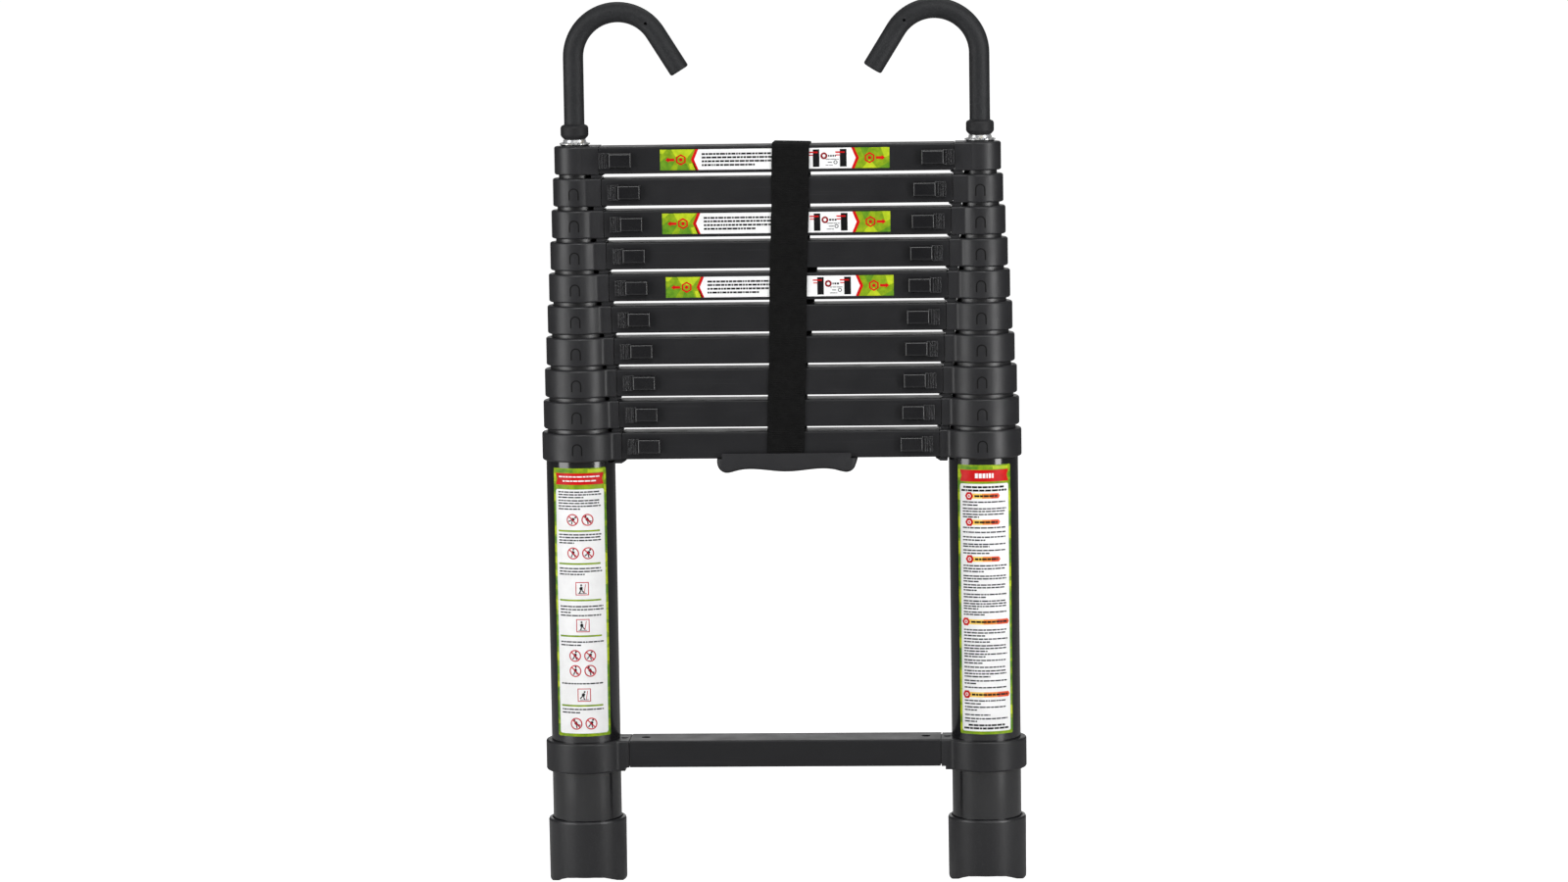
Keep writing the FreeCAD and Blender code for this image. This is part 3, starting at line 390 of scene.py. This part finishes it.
MATS["hook_rubber"] = hook_finish()
MATS["zinc"] = zinc_finish()
MATS["webbing"] = webbing_finish()
LOOP = loop_finish("loop_pile", srgb(14, 14, 14), srgb(36, 36, 36))
THREAD = thread_finish()
INK = {
    "white": print_finish("vinyl_white", srgb(245, 245, 245), srgb(252, 252, 252), 60),
    "green": print_finish("vinyl_green", srgb(116, 152, 24), srgb(150, 178, 28), 160),
    "green_dark": print_finish("vinyl_green_dark", srgb(86, 136, 30), srgb(112, 158, 34), 160),
    "green_light": print_finish("vinyl_green_light", srgb(170, 196, 34), srgb(196, 214, 40), 160),
    "red": print_finish("vinyl_red", srgb(200, 8, 12), srgb(216, 14, 18)),
    "red_dark": print_finish("vinyl_red_dark", srgb(126, 12, 20), srgb(150, 18, 26)),
    "crimson": print_finish("vinyl_crimson", srgb(182, 20, 42), srgb(200, 26, 48)),
    "text": print_finish("vinyl_grey", srgb(34, 34, 38), srgb(48, 48, 52)),
    # gap: painted shade, a near-black film laid over the slits round the collar snap tongues
    "gap": print_finish("gap_shadow", srgb(8, 8, 8), srgb(12, 12, 12), 200, 0.8),
    "black": print_finish("vinyl_black", srgb(14, 14, 15), srgb(22, 22, 24)),
    "yellow": print_finish("vinyl_yellow", srgb(250, 205, 92), srgb(252, 214, 112)),
    "orange": print_finish("vinyl_orange", srgb(240, 140, 58), srgb(246, 158, 74)),
    "coral": print_finish("vinyl_coral", srgb(226, 76, 40), srgb(234, 92, 50)),
}

n = Nodes("studio_floor")
n.set("Base Color", n.mix(n.span(n.noise(0.8, 3, 0.5), 0.3, 0.7), (0.42, 0.42, 0.42), (0.46, 0.46, 0.46)))
n.set("Roughness", n.span(n.noise(3, 3, 0.5), 0.3, 0.7, 0.75, 0.85))
n.set("Specular IOR Level", 0.2)
n.set("Emission Color", (1.0, 1.0, 1.0))
lp = n.add("ShaderNodeLightPath")
n.set("Emission Strength", n.math("MULTIPLY", lp.outputs["Is Camera Ray"], 1.02))
floor.data.materials.append(n.mat)

slot_of = {r["node"]: r["material_slot"] for r in frame["record"]["subparts"]}
for name, o in frame["nodes"].items():
    m = MATS[slot_of[name]]
    if not o.material_slots:
        o.data.materials.append(m)
    for s in o.material_slots:
        s.material = m


# ------------------------------------------------------------------ labels
HALF_SPAN = 194.7
RUNG_FACE = 18.4


class Label:
    """A printed film: flat shapes in label millimetres, each a thin closed prism,
    laid on a surface by the map function (u, v, lift) -> point."""

    def __init__(self, name, surface, step=None):
        self.name, self.surface, self.step = name, surface, step
        self.bm = bmesh.new()
        self.inks = []

    def shape(self, points, ink, layer=1):
        if ink not in self.inks:
            self.inks.append(ink)
        idx = self.inks.index(ink)
        low = -0.12 if layer == 0 else 0.05
        high = 0.10 + 0.035 * layer
        bm = bmesh.new()
        vs = [bm.verts.new((p[0], p[1], low)) for p in points]
        bm.faces.new(vs)
        if self.step:
            u0 = min(p[0] for p in points)
            u1 = max(p[0] for p in points)
            k = math.ceil(u0 / self.step)
            while k * self.step < u1:
                if k * self.step > u0 + 1e-4:
                    bmesh.ops.bisect_plane(bm, geom=bm.verts[:] + bm.edges[:] + bm.faces[:],
                                           plane_co=(k * self.step, 0, 0), plane_no=(1, 0, 0), dist=1e-5)
                k += 1
        faces = bm.faces[:]
        out = bmesh.ops.extrude_face_region(bm, geom=faces)
        for g in out["geom"]:
            if isinstance(g, bmesh.types.BMVert):
                g.co.z = high
        bmesh.ops.recalc_face_normals(bm, faces=bm.faces[:])
        table = {}
        for v in bm.verts:
            table[v] = self.bm.verts.new(self.surface(v.co.x, v.co.y, v.co.z))
        for f in bm.faces:
            nf = self.bm.faces.new([table[v] for v in f.verts])
            nf.material_index = idx
        bm.free()

    def rect(self, u0, v0, u1, v1, ink, layer=1):
        self.shape([(u0, v0), (u1, v0), (u1, v1), (u0, v1)], ink, layer)

    def rounded(self, u0, v0, u1, v1, r, ink, layer=1, seg=5):
        pts = []
        for cx, cy, a0 in ((u1 - r, v0 + r, -90), (u1 - r, v1 - r, 0), (u0 + r, v1 - r, 90), (u0 + r, v0 + r, 180)):
            for i in range(seg + 1):
                a = math.radians(a0 + 90 * i / seg)
                pts.append((cx + r * math.cos(a), cy + r * math.sin(a)))
        self.shape(pts, ink, layer)

    def disc(self, cu, cv, r, ink, layer=1, sides=20, turn=0.0):
        self.shape([(cu + r * math.cos(2 * math.pi * i / sides + turn),
                     cv + r * math.sin(2 * math.pi * i / sides + turn)) for i in range(sides)], ink, layer)

    def ring(self, cu, cv, r0, r1, ink, layer=1, sides=24, turn=0.0):
        for i in range(sides):
            a, b = 2 * math.pi * i / sides + turn, 2 * math.pi * (i + 1) / sides + turn
            self.shape([(cu + r0 * math.cos(a), cv + r0 * math.sin(a)), (cu + r1 * math.cos(a), cv + r1 * math.sin(a)),
                        (cu + r1 * math.cos(b), cv + r1 * math.sin(b)), (cu + r0 * math.cos(b), cv + r0 * math.sin(b))],
                       ink, layer)

    def marks(self, rng, u0, u1, v, height, ink="text", layer=2, fill=1.0, gap=0.9, lo=1.6, hi=6.2):
        """A row of plain bars of uneven length."""
        u, end = u0, u0 + (u1 - u0) * fill
        while u < end - 0.8:
            w = min(rng.uniform(lo, hi), end - u)
            self.rect(u, v - height / 2, u + w, v + height / 2, ink, layer)
            u += w + gap

    def done(self, body, slot):
        me = bpy.data.meshes.new(self.name)
        bmesh.ops.recalc_face_normals(self.bm, faces=self.bm.faces[:])
        self.bm.to_mesh(me)
        self.bm.free()
        for i in self.inks:
            me.materials.append(INK[i])
        o = bpy.data.objects.new(self.name, me)
        scene.collection.objects.link(o)
        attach(o, body)
        return o


def rung_label(k, body):
    z = 427.0 + 30.6 * (k - 1)
    u0, u1 = {10: (-111.3, 108.4), 8: (-110.3, 108.5), 6: (-107.8, 110.9)}[k]
    rng = random.Random(40 + k)
    lab = Label("rung_label_%02d" % k,
                lambda u, v, w: Vector((u * MM, -(RUNG_FACE + w) * MM, (z + v) * MM)))
    H = 9.9
    lab.rect(u0, -H, u1, H, "white", 0)
    # left end: faceted green block, arrow and ring, chevron
    g1 = u0 + 34.4
    lab.shape([(u0, -H), (g1 + 0.6, -H), (g1 - 3.8, 0), (g1 + 0.6, H), (u0, H)], "green", 1)
    lab.shape([(u0, -H), (u0 + 9, -H), (u0 + 15, -1), (u0 + 6, 3), (u0, -2)], "green_dark", 2)
    lab.shape([(u0 + 11, H), (g1 - 1.5, H), (g1 - 8.5, 1.5), (u0 + 15, 2.5)], "green_light", 2)
    lab.shape([(u0 + 16, -H), (g1 - 6, -H), (g1 - 9, -3.5), (u0 + 18, -3)], "green_dark", 2)
    lab.shape([(g1 - 5, -H), (g1 + 0.6, -H), (g1 - 2.4, -3), (g1 - 7, -4)], "green_light", 2)
    lab.shape([(u0, H), (u0 + 6.5, H), (u0 + 2.5, 5.5), (u0, 6)], "green_light", 2)
    a = u0 + 5.0
    lab.shape([(a, 0), (a + 3.4, -2.5), (a + 3.4, -1.2), (a + 8.8, -1.2), (a + 8.8, 1.2), (a + 3.4, 1.2), (a + 3.4, 2.5)], "red", 3)
    lab.ring(u0 + 20.0, 0, 3.7, 5.4, "red", 3, 6, math.radians(30))
    lab.disc(u0 + 20.0, 0, 1.7, "red", 3, 12)
    c = g1 - 3.8
    lab.shape([(c + 2.0, 0), (c + 6.2, H), (c + 3.2, H), (c - 1.1, 0), (c + 3.2, -H), (c + 6.2, -H)], "red", 2)
    # printed lines, hidden in part by the strap
    for i, (v, f) in enumerate(((5.3, 1.0), (1.9, 1.0), (-1.7, 1.0), (-5.3, 0.55))):
        lab.marks(rng, g1 + 5.6, -2 if f == 1.0 else 22, v, 1.75, "black", 2, f, 0.6, 1.4, 5.0)
    # right end
    b0 = u1 - 73.2
    lab.rect(b0, -8.3, b0 + 6.2, 8.4, "black", 2)
    lab.rect(b0 + 25.8, -8.3, b0 + 32.2, 8.6, "black", 2)
    for bx in (b0 - 4.2, b0 + 21.6):
        lab.rect(bx, 4.9, bx + 8.8, 6.3, "red", 3)
        lab.rect(bx + 0.4, 2.4, bx + 4.4, 3.4, "red", 3)
    lab.ring(b0 + 10.6, 2.2, 1.5, 3.3, "red_dark", 2, 20)
    lab.marks(rng, b0 + 14.6, b0 + 22.0, 2.2, 1.7, "black", 2, 1.0, 0.7, 1.0, 2.6)
    lab.marks(rng, b0 + 12.2, b0 + 24.6, -1.2, 0.6, "text", 2, 1.0, 0.5)
    lab.ring(b0 + 21.6, -4.0, 1.2, 1.9, "text", 2, 12)
    lab.marks(rng, b0 + 12.2, b0 + 19.0, -6.8, 0.6, "text", 2, 1.0, 0.5)
    lab.marks(rng, b0 + 14.2, b0 + 19.0, -4.0, 0.7, "text", 2, 1.0, 0.5)
    g0 = u1 - 34.0
    lab.shape([(g0 - 0.6, -H), (u1, -H), (u1, H), (g0 - 0.6, H), (g0 + 3.8, 0)], "green", 1)
    lab.shape([(g0 + 8, -H), (g0 + 22, -H), (g0 + 15, -1.5)], "green_light", 2)
    lab.shape([(g0 + 6, H), (g0 + 15, H), (g0 + 10, 1)], "green_dark", 2)
    lab.shape([(u1 - 8, H), (u1, H), (u1, 2), (u1 - 5, 0)], "green_light", 2)
    lab.shape([(u1 - 11, -H), (u1, -H), (u1, -4)], "green_dark", 2)
    c = g0 + 3.8
    lab.shape([(c - 2.0, 0), (c - 6.2, -H), (c - 3.2, -H), (c + 1.1, 0), (c - 3.2, H), (c - 6.2, H)], "red", 2)
    lab.ring(g0 + 15.0, 0, 3.7, 5.4, "red", 3, 6, math.radians(30))
    lab.disc(g0 + 15.0, 0, 1.7, "red", 3, 12)
    a = u1 - 4.2
    lab.shape([(a, 0), (a - 3.4, 2.5), (a - 3.4, 1.2), (a - 8.8, 1.2), (a - 8.8, -1.2), (a - 3.4, -1.2), (a - 3.4, -2.5)], "red", 3)
    return lab.done(body, "label_film")


TUBE_R = 33.4
Z0, Z1 = 146.4, 407.6
STEP = TUBE_R * math.radians(3.6)


def stile_label(side, body="base"):
    cx = HALF_SPAN * side
    rng = random.Random(7 if side < 0 else 8)

    def surface(u, v, w):
        a = u / TUBE_R
        r = TUBE_R + w + 0.03
        return Vector(((cx + r * math.sin(a)) * MM, -r * math.cos(a) * MM, v * MM))

    lab = Label("stile_label_%s" % ("left" if side < 0 else "right"), surface, STEP)
    U0, U1 = -TUBE_R * math.radians(46.5), TUBE_R * math.radians(50.5)
    lab.rounded(U0, Z0, U1, Z1, 1.6, "green", 0)
    # uneven darker and lighter facets round the border
    v = Z0 + 4
    while v < Z1 - 8:
        for a, b in ((U0 + 0.15, U0 + 2.9), (U1 - 2.9, U1 - 0.15)):
            hgt = rng.uniform(5, 13)
            ink = rng.choice(("green_dark", "green_light", "green_dark"))
            t = rng.uniform(-2.5, 2.5)
            lab.shape([(a, v), (b, v + t), (b, v + hgt + t * 0.4), (a, v + hgt)], ink, 1)
        v += rng.uniform(8, 16)
    lab.rounded(U0 + 2.9, Z0 + 2.9, U1 - 2.9, 387.2 if side < 0 else 389.4, 2.2, "white", 1)
    lab.rect(U0 + 3.4, Z1 - 4.2, U0 + 22, Z1 - 1.4, "green_dark", 1)
    lab.rect(U1 - 20, Z1 - 4.2, U1 - 3.4, Z1 - 1.2, "green_light", 1)
    # ribbon with swallow-tail ends
    r0, r1 = 391.6, 402.8
    rm = (r0 + r1) / 2
    lab.shape([(U0 + 3.0, r0), (U1 - 3.0, r0), (U1 - 4.9, rm), (U1 - 3.0, r1), (U0 + 3.0, r1), (U0 + 4.9, rm)], "red", 2)
    mid = (U0 + U1) / 2
    a, b = U0 + 6.0, U1 - 6.0

    def rows(levels, short=()):
        for i, z in enumerate(levels):
            lab.marks(rng, a, b, z, 1.3, "text", 2, rng.uniform(0.25, 0.6) if i in short else rng.uniform(0.93, 1.0), 0.6)

    if side < 0:
        # plain bars, green rules, slashed rings and squares round abstract shapes
        lab.marks(rng, mid - 21, mid + 21, rm + 2.2, 1.3, "white", 3, 1.0, 0.7, 2.0, 6.0)
        lab.marks(rng, mid - 17, mid + 17, rm - 1.9, 1.3, "white", 3, 1.0, 0.7, 2.0, 6.0)

        def figure(cu, z, turn):
            c, t = math.cos(turn), math.sin(turn)

            def at(pts):
                return [(cu + x * c - y * t, z + x * t + y * c) for x, y in pts]
            lab.shape(at([(-1.3, -1.0), (1.1, -1.2), (1.7, 1.6), (0.2, 2.6), (-1.5, 1.4)]), "black", 2)
            lab.shape(at([(-1.3, -1.1), (-2.8, -3.4), (-1.6, -3.8), (-0.2, -1.2)]), "black", 2)
            lab.shape(at([(0.1, -1.3), (1.1, -1.3), (2.6, -3.6), (1.4, -3.9)]), "black", 2)
            lab.disc(cu + 0.7 * c - 3.7 * t, z + 0.7 * t + 3.7 * c, 0.95, "black", 2, 10)

        def rings(z):
            for cu in (mid - 7.3, mid + 7.3):
                figure(cu, z, rng.uniform(-0.7, 0.7))
                lab.ring(cu, z, 4.75, 5.85, "crimson", 3, 26)
                lab.shape([(cu - 3.9, z + 3.1), (cu - 3.1, z + 3.9), (cu + 3.9, z - 3.1), (cu + 3.1, z - 3.9)], "crimson", 4)

        def square(z):
            cu, s, w = mid + 0.9, 6.4, 0.8
            lab.rect(cu - s, z - s, cu + s, z - s + w, "crimson", 2)
            lab.rect(cu - s, z + s - w, cu + s, z + s, "crimson", 2)
            lab.rect(cu - s, z - s + w, cu - s + w, z + s - w, "crimson", 2)
            lab.rect(cu + s - w, z - s + w, cu + s, z + s - w, "crimson", 2)
            figure(cu - 1.0, z - 0.4, rng.uniform(-0.3, 0.3))
            lab.shape([(cu + 1.6, z - 4.2), (cu + 2.2, z - 4.2), (cu + 3.6, z + 4.2), (cu + 3.0, z + 4.2)], "crimson", 2)
            lab.rect(cu - 4.2, z - 4.9, cu + 4.2, z - 4.3, "text", 2)

        def rule(z):
            lab.rect(a - 0.5, z - 0.85, b - 2.5, z + 0.85, "green", 2)

        rows((384.6, 382.0, 379.4), (2,))
        rows((376.3, 373.7, 370.9, 368.2), (3,))
        rings(357.6)
        rule(346.8)
        rows((343.2, 340.5, 337.7, 335.2), (3,))
        rings(325.2)
        rule(314.9)
        rows((310.4, 307.5, 304.7), (2,))
        square(290.8)
        rule(279.4)
        rows((273.4, 270.4, 267.5, 264.6), (2,))
        square(254.8)
        rule(244.5)
        rows((238.8, 235.7), (1,))
        rings(225.3)
        rings(210.5)
        rows((198.1,))
        square(187.0)
        rule(176.5)
        rows((172.9, 169.8), (1,))
        rings(158.9)
    else:
        lab.marks(rng, mid - 9, mid + 9, rm, 4.6, "white", 3, 1.0, 0.8, 1.6, 3.4)

        def pill(z, wide):
            cu = -18.6 if wide else -14.0
            x0, x1 = cu + 3.9, 25.6 if wide else 16.4
            m1, m2 = x0 + (x1 - x0) * 0.34, x0 + (x1 - x0) * 0.67
            lab.rect(x0 - 1.5, z - 2.5, m1, z + 2.5, "yellow", 2)
            lab.rect(m1, z - 2.5, m2, z + 2.5, "orange", 2)
            lab.shape([(m2, z - 2.5), (x1 - 1.6, z - 2.5), (x1, z), (x1 - 1.6, z + 2.5), (m2, z + 2.5)], "coral", 2)
            lab.disc(cu, z, 4.3, "red", 3, 6)
            lab.ring(cu, z, 1.0, 1.8, "white", 4, 14)
            lab.marks(rng, x0 + 1.5, x1 - 2.5, z, 1.9, "black", 3, 1.0, 0.5, 2, 5)

        lab.marks(rng, a + 1, b - 2, 386.2, 1.9, "black", 2, 1.0, 0.6)
        lab.marks(rng, a - 1.5, b + 0.5, 383.0, 1.9, "black", 2, 1.0, 0.6)
        pill(377.6, False)
        rows((371.8, 368.9), (1,))
        rows((365.4, 362.8, 359.9, 357.4), (3,))
        pill(352.3, False)
        rows((346.9, 342.6, 337.9, 335.0, 331.0, 328.8, 325.1, 322.3), (3, 5, 7))
        pill(316.6, False)
        rows((310.2, 307.3, 304.6, 300.2, 297.6, 295.0, 291.6, 289.0, 286.4, 282.4, 279.8), (2, 5, 8, 10))
        rows((276.0, 273.4, 270.9, 268.5, 265.2, 262.8), (3, 5))
        pill(255.7, True)
        rows((247.9, 245.1, 242.3, 239.1, 236.3, 232.7, 230.0, 227.3, 224.5, 222.0), (2, 4, 7, 9))
        rows((218.4, 215.7, 211.7, 208.1, 205.3, 202.5, 198.5, 195.8, 191.9), (1, 5, 7))
        pill(185.0, True)
        rows((179.1, 176.1, 172.8, 170.0, 165.2, 161.6, 158.9), (1, 3, 4, 6))
        lab.marks(rng, a + 4, b - 4, 155.2, 1.8, "black", 2, 1.0, 0.6)
        lab.marks(rng, a - 1, b, 152.2, 1.8, "black", 2, 1.0, 0.6)
    return lab.done(body, "label_film")


for k, body in ((10, "section_10"), (8, "section_08"), (6, "section_06")):
    rung_label(k, body)
stile_label(-1)
stile_label(1)


# ------------------------------------------------------------------ collar snap tongues
def tongue_gap_shade(k, body):
    """Painted shade: a near-black film strip over the slit round the snap tongue of each collar, both sides."""
    r = 37.0 - 1.9 * (k - 1)
    z = 427.0 + 30.6 * (k - 1)
    lab = None
    for side in (-1, 1):
        cx = HALF_SPAN * side

        def surface(u, v, w, cx=cx):
            x = max(-r, min(r, u))
            n = math.asin(x / r)
            return Vector(((cx + (r + w - 0.06) * math.sin(n)) * MM, -(r + w - 0.06) * math.cos(n) * MM, v * MM))
        if lab is None:
            lab = Label("tongue_gaps_%02d" % k, surface)
        lab.surface = surface
        path = [(-4.35, -7.0), (-4.35, -0.4)]
        for i in range(1, 12):
            a = math.radians(180 - 15 * i)
            path.append((4.35 * math.cos(a), -0.4 + 4.35 * math.sin(a)))
        path += [(4.35, -0.4), (4.35, -7.0)]
        hw = 0.60
        for i in range(len(path) - 1):
            (x0, z0), (x1, z1) = path[i], path[i + 1]

            def off(j, s):
                x, zz = path[j]
                if zz <= -0.4 + 1e-6 and abs(abs(x) - 4.35) < 1e-6:
                    return (x - hw * s if x < 0 else x + hw * s, z + zz)
                t = math.hypot(x, zz + 0.4)
                return (x * (t + hw * s) / t, z - 0.4 + (zz + 0.4) * (t + hw * s) / t)
            lab.shape([off(i, -1), off(i, 1), off(i + 1, 1), off(i + 1, -1)], "gap", 1)
    return lab.done(body, "collar_black")


for k in range(1, 10):
    tongue_gap_shade(k, "base" if k == 1 else "section_%02d" % k)


# ------------------------------------------------------------------ strap
def strap():
    """Webbing loop over the top rung: ribs across, thick selvedges, slight waves."""
    tilt = math.radians(1.66)
    yi = 18.4 + 0.45
    width, base, rib, pitch = 36.4, 1.0, 0.42, 2.0
    top = 1.0
    r = 3.0
    drop = 296.0
    centre = Vector((14.0, 0.0, 702.4 + 12.95))
    # the inner line of the web, front leg to rear leg: (y, z, normal y, normal z)
    line = []
    n_leg = int((drop + top - r) / (pitch / 6))
    for i in range(n_leg):
        z = -drop + (drop + top - r) * i / n_leg
        line.append((-yi, z, -1.0, 0.0))
    n_arc = 15
    for i in range(n_arc):
        a = math.radians(180 - 90 * i / n_arc)
        line.append((-yi + r + r * math.cos(a), top - r + r * math.sin(a), math.cos(a), math.sin(a)))
    n_top = int(2 * (yi - r) / (pitch / 6))
    for i in range(n_top):
        line.append((-yi + r + 2 * (yi - r) * i / n_top, top, 0.0, 1.0))
    for i in range(n_arc):
        a = math.radians(90 - 90 * i / n_arc)
        line.append((yi - r + r * math.cos(a), top - r + r * math.sin(a), math.cos(a), math.sin(a)))
    for i in range(n_leg + 1):
        z = top - r - (drop + top - r) * i / n_leg
        line.append((yi, z, 1.0, 0.0))
    cols = 17
    xs = [-1.0, -0.985, -0.95] + [-0.93 + 1.86 * i / (cols - 7) for i in range(cols - 6)] + [0.95, 0.985, 1.0]
    rng = random.Random(3)
    wob = [rng.uniform(-1, 1) for _ in range(64)]

    def slow(t, k):
        i = int(math.floor(t))
        f = t - i
        f = f * f * (3 - 2 * f)
        return wob[(i + k) % 64] * (1 - f) + wob[(i + 1 + k) % 64] * f

    bm = bmesh.new()
    outer, inner = [], []
    s = 0.0
    prev = None
    for row, (y, z, ny, nz) in enumerate(line):
        if prev is not None:
            s += math.hypot(y - prev[0], z - prev[1])
        prev = (y, z)
        ro, ri = [], []
        drift = 0.35 * slow(s / 46.0, 5)
        for c, x in enumerate(xs):
            half = width / 2 - 0.25 + 0.18 * slow(s / 9.0, 11 if x < 0 else 27)
            px = x * half + drift
            ph = s / pitch + 0.10 * slow(s / 14 + x * 1.5, 40)
            wave = 0.5 + 0.5 * math.cos(2 * math.pi * ph)
            wave = wave ** 0.7
            edge = max(0.0, (abs(x) - 0.93) / 0.07)
            # the selvedge is a rounded roll with its own tighter beat
            roll = math.sqrt(max(0.0, 1 - edge ** 2))
            lift = base + rib * (wave if edge == 0 else 0.55 + 0.25 * math.cos(2 * math.pi * ph + math.pi))
            mid = (base + rib) / 2
            if edge > 0:
                o_l = mid + (lift - mid) * max(roll, 0.12)
                i_l = mid - (mid - 0.05) * max(roll, 0.12)
            else:
                o_l, i_l = lift, 0.05 + 0.10 * (1 - wave)
            ro.append(bm.verts.new((px, y + ny * o_l, z + nz * o_l)))
            ri.append(bm.verts.new((px, y + ny * i_l, z + nz * i_l)))
        outer.append(ro)
        inner.append(ri)
    m = len(xs)
    for i in range(len(line) - 1):
        for c in range(m - 1):
            bm.faces.new((outer[i][c], outer[i][c + 1], outer[i + 1][c + 1], outer[i + 1][c]))
            bm.faces.new((inner[i][c + 1], inner[i][c], inner[i + 1][c], inner[i + 1][c + 1]))
        bm.faces.new((outer[i][0], outer[i + 1][0], inner[i + 1][0], inner[i][0]))
        bm.faces.new((outer[i + 1][m - 1], outer[i][m - 1], inner[i][m - 1], inner[i + 1][m - 1]))
    for i in (0, len(line) - 1):
        for c in range(m - 1):
            f = (outer[i][c], inner[i][c], inner[i][c + 1], outer[i][c + 1])
            bm.faces.new(f if i == 0 else f[::-1])
    bmesh.ops.recalc_face_normals(bm, faces=bm.faces[:])
    place = Matrix.Translation(centre) @ Matrix.Rotation(tilt, 4, "Y")
    bm.transform(Matrix.Scale(MM, 4) @ place)
    me = bpy.data.meshes.new("strap_webbing")
    bm.to_mesh(me)
    bm.free()
    me.shade_smooth()
    me.materials.append(MATS["webbing"])
    o = bpy.data.objects.new("strap_webbing", me)
    scene.collection.objects.link(o)
    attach(o, "section_10")
    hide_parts("strap")
    return o, s


strap_piece, strap_length = strap()


def rear_tail():
    """End of the strap: a webbing tab on the rear leg with a box of stitches."""
    tilt = math.radians(1.66 + 4.0)
    width, length = 36.0, 96.0
    base, rib, pitch = 0.95, 0.38, 2.0
    rows = int(length / (pitch / 6))
    xs = [-1.0, -0.985, -0.95] + [-0.93 + 1.86 * i / 10 for i in range(11)] + [0.95, 0.985, 1.0]
    bm = bmesh.new()
    grid_o, grid_i = [], []
    for i in range(rows + 1):
        z = length * i / rows
        ro, ri = [], []
        for x in xs:
            ph = z / pitch
            wave = (0.5 + 0.5 * math.cos(2 * math.pi * ph)) ** 0.7
            edge = max(0.0, (abs(x) - 0.93) / 0.07)
            end = min(z, length - z)
            cap = min(1.0, 0.35 + end / 1.4)
            roll = max(0.12, math.sqrt(max(0.0, 1 - edge ** 2))) * cap
            lift = base + rib * (wave if edge == 0 else 0.5)
            mid = (base + rib) / 2
            ro.append(bm.verts.new((x * width / 2, mid + (lift - mid) * roll, z)))
            ri.append(bm.verts.new((x * width / 2, mid - (mid - 0.04) * roll, z)))
        grid_o.append(ro)
        grid_i.append(ri)
    m = len(xs)
    for i in range(rows):
        for c in range(m - 1):
            bm.faces.new((grid_o[i][c], grid_o[i][c + 1], grid_o[i + 1][c + 1], grid_o[i + 1][c]))
            bm.faces.new((grid_i[i][c + 1], grid_i[i][c], grid_i[i + 1][c], grid_i[i + 1][c + 1]))
        bm.faces.new((grid_o[i][0], grid_o[i + 1][0], grid_i[i + 1][0], grid_i[i][0]))
        bm.faces.new((grid_o[i + 1][m - 1], grid_o[i][m - 1], grid_i[i][m - 1], grid_i[i + 1][m - 1]))
    for i in (0, rows):
        for c in range(m - 1):
            f = (grid_o[i][c], grid_i[i][c], grid_i[i][c + 1], grid_o[i][c + 1])
            bm.faces.new(f)
    bmesh.ops.recalc_face_normals(bm, faces=bm.faces[:])
    corner = Vector((14.0 - 18.2 - 2.4, 18.4 + 0.45 + 1.5, 702.4 - 172))
    place = (Matrix.Translation(corner) @ Matrix.Rotation(tilt, 4, "Y")
             @ Matrix.Translation((18.2, 0.04, 0)))
    bm.transform(Matrix.Scale(MM, 4) @ place)
    me = bpy.data.meshes.new("strap_tail_webbing")
    bm.to_mesh(me)
    bm.free()
    me.shade_smooth()
    me.materials.append(MATS["webbing"])
    o = bpy.data.objects.new("strap_tail_webbing", me)
    scene.collection.objects.link(o)
    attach(o, "section_10")

    # box of stitches near the end, real threads
    bm = bmesh.new()

    def stitch(x0, z0, x1, z1):
        d = math.hypot(x1 - x0, z1 - z0)
        count = max(1, int(d / 3.0))
        for i in range(count):
            a = (i + 0.12) / count
            b = (i + 0.80) / count
            p = Vector((x0 + (x1 - x0) * a, base + rib + 0.02, z0 + (z1 - z0) * a))
            q = Vector((x0 + (x1 - x0) * b, base + rib + 0.02, z0 + (z1 - z0) * b))
            ax = (q - p).normalized()
            side = ax.cross(Vector((0, 1, 0)))
            rings = []
            for t in range(5):
                f = t / 4
                c = p.lerp(q, f)
                h = 0.26 * math.sin(math.pi * (0.08 + 0.84 * f))
                rings.append([bm.verts.new(c + side * (0.3 * math.cos(u)) * (0.5 + h) + Vector((0, 1, 0)) * (h - 0.2 + 0.28 * math.sin(u) * (0.5 + h)))
                              for u in (math.radians(60 * j) for j in range(6))])
            for t in range(4):
                for j in range(6):
                    bm.faces.new((rings[t][j], rings[t][(j + 1) % 6], rings[t + 1][(j + 1) % 6], rings[t + 1][j]))
            bm.faces.new(rings[0][::-1])
            bm.faces.new(rings[4])

    for a, b in (((-15, 4), (15, 4)), ((-15, 34), (15, 34)), ((-15, 4), (-15, 34)), ((15, 4), (15, 34)),
                 ((-15, 4), (15, 34)), ((-15, 34), (15, 4))):
        stitch(a[0], a[1], b[0], b[1])
    bmesh.ops.recalc_face_normals(bm, faces=bm.faces[:])
    bm.transform(Matrix.Scale(MM, 4) @ place)
    me = bpy.data.meshes.new("strap_stitching")
    bm.to_mesh(me)
    bm.free()
    me.shade_smooth()
    me.materials.append(THREAD)
    t = bpy.data.objects.new("strap_stitching", me)
    scene.collection.objects.link(t)
    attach(t, "section_10")
    return o


rear_tail()
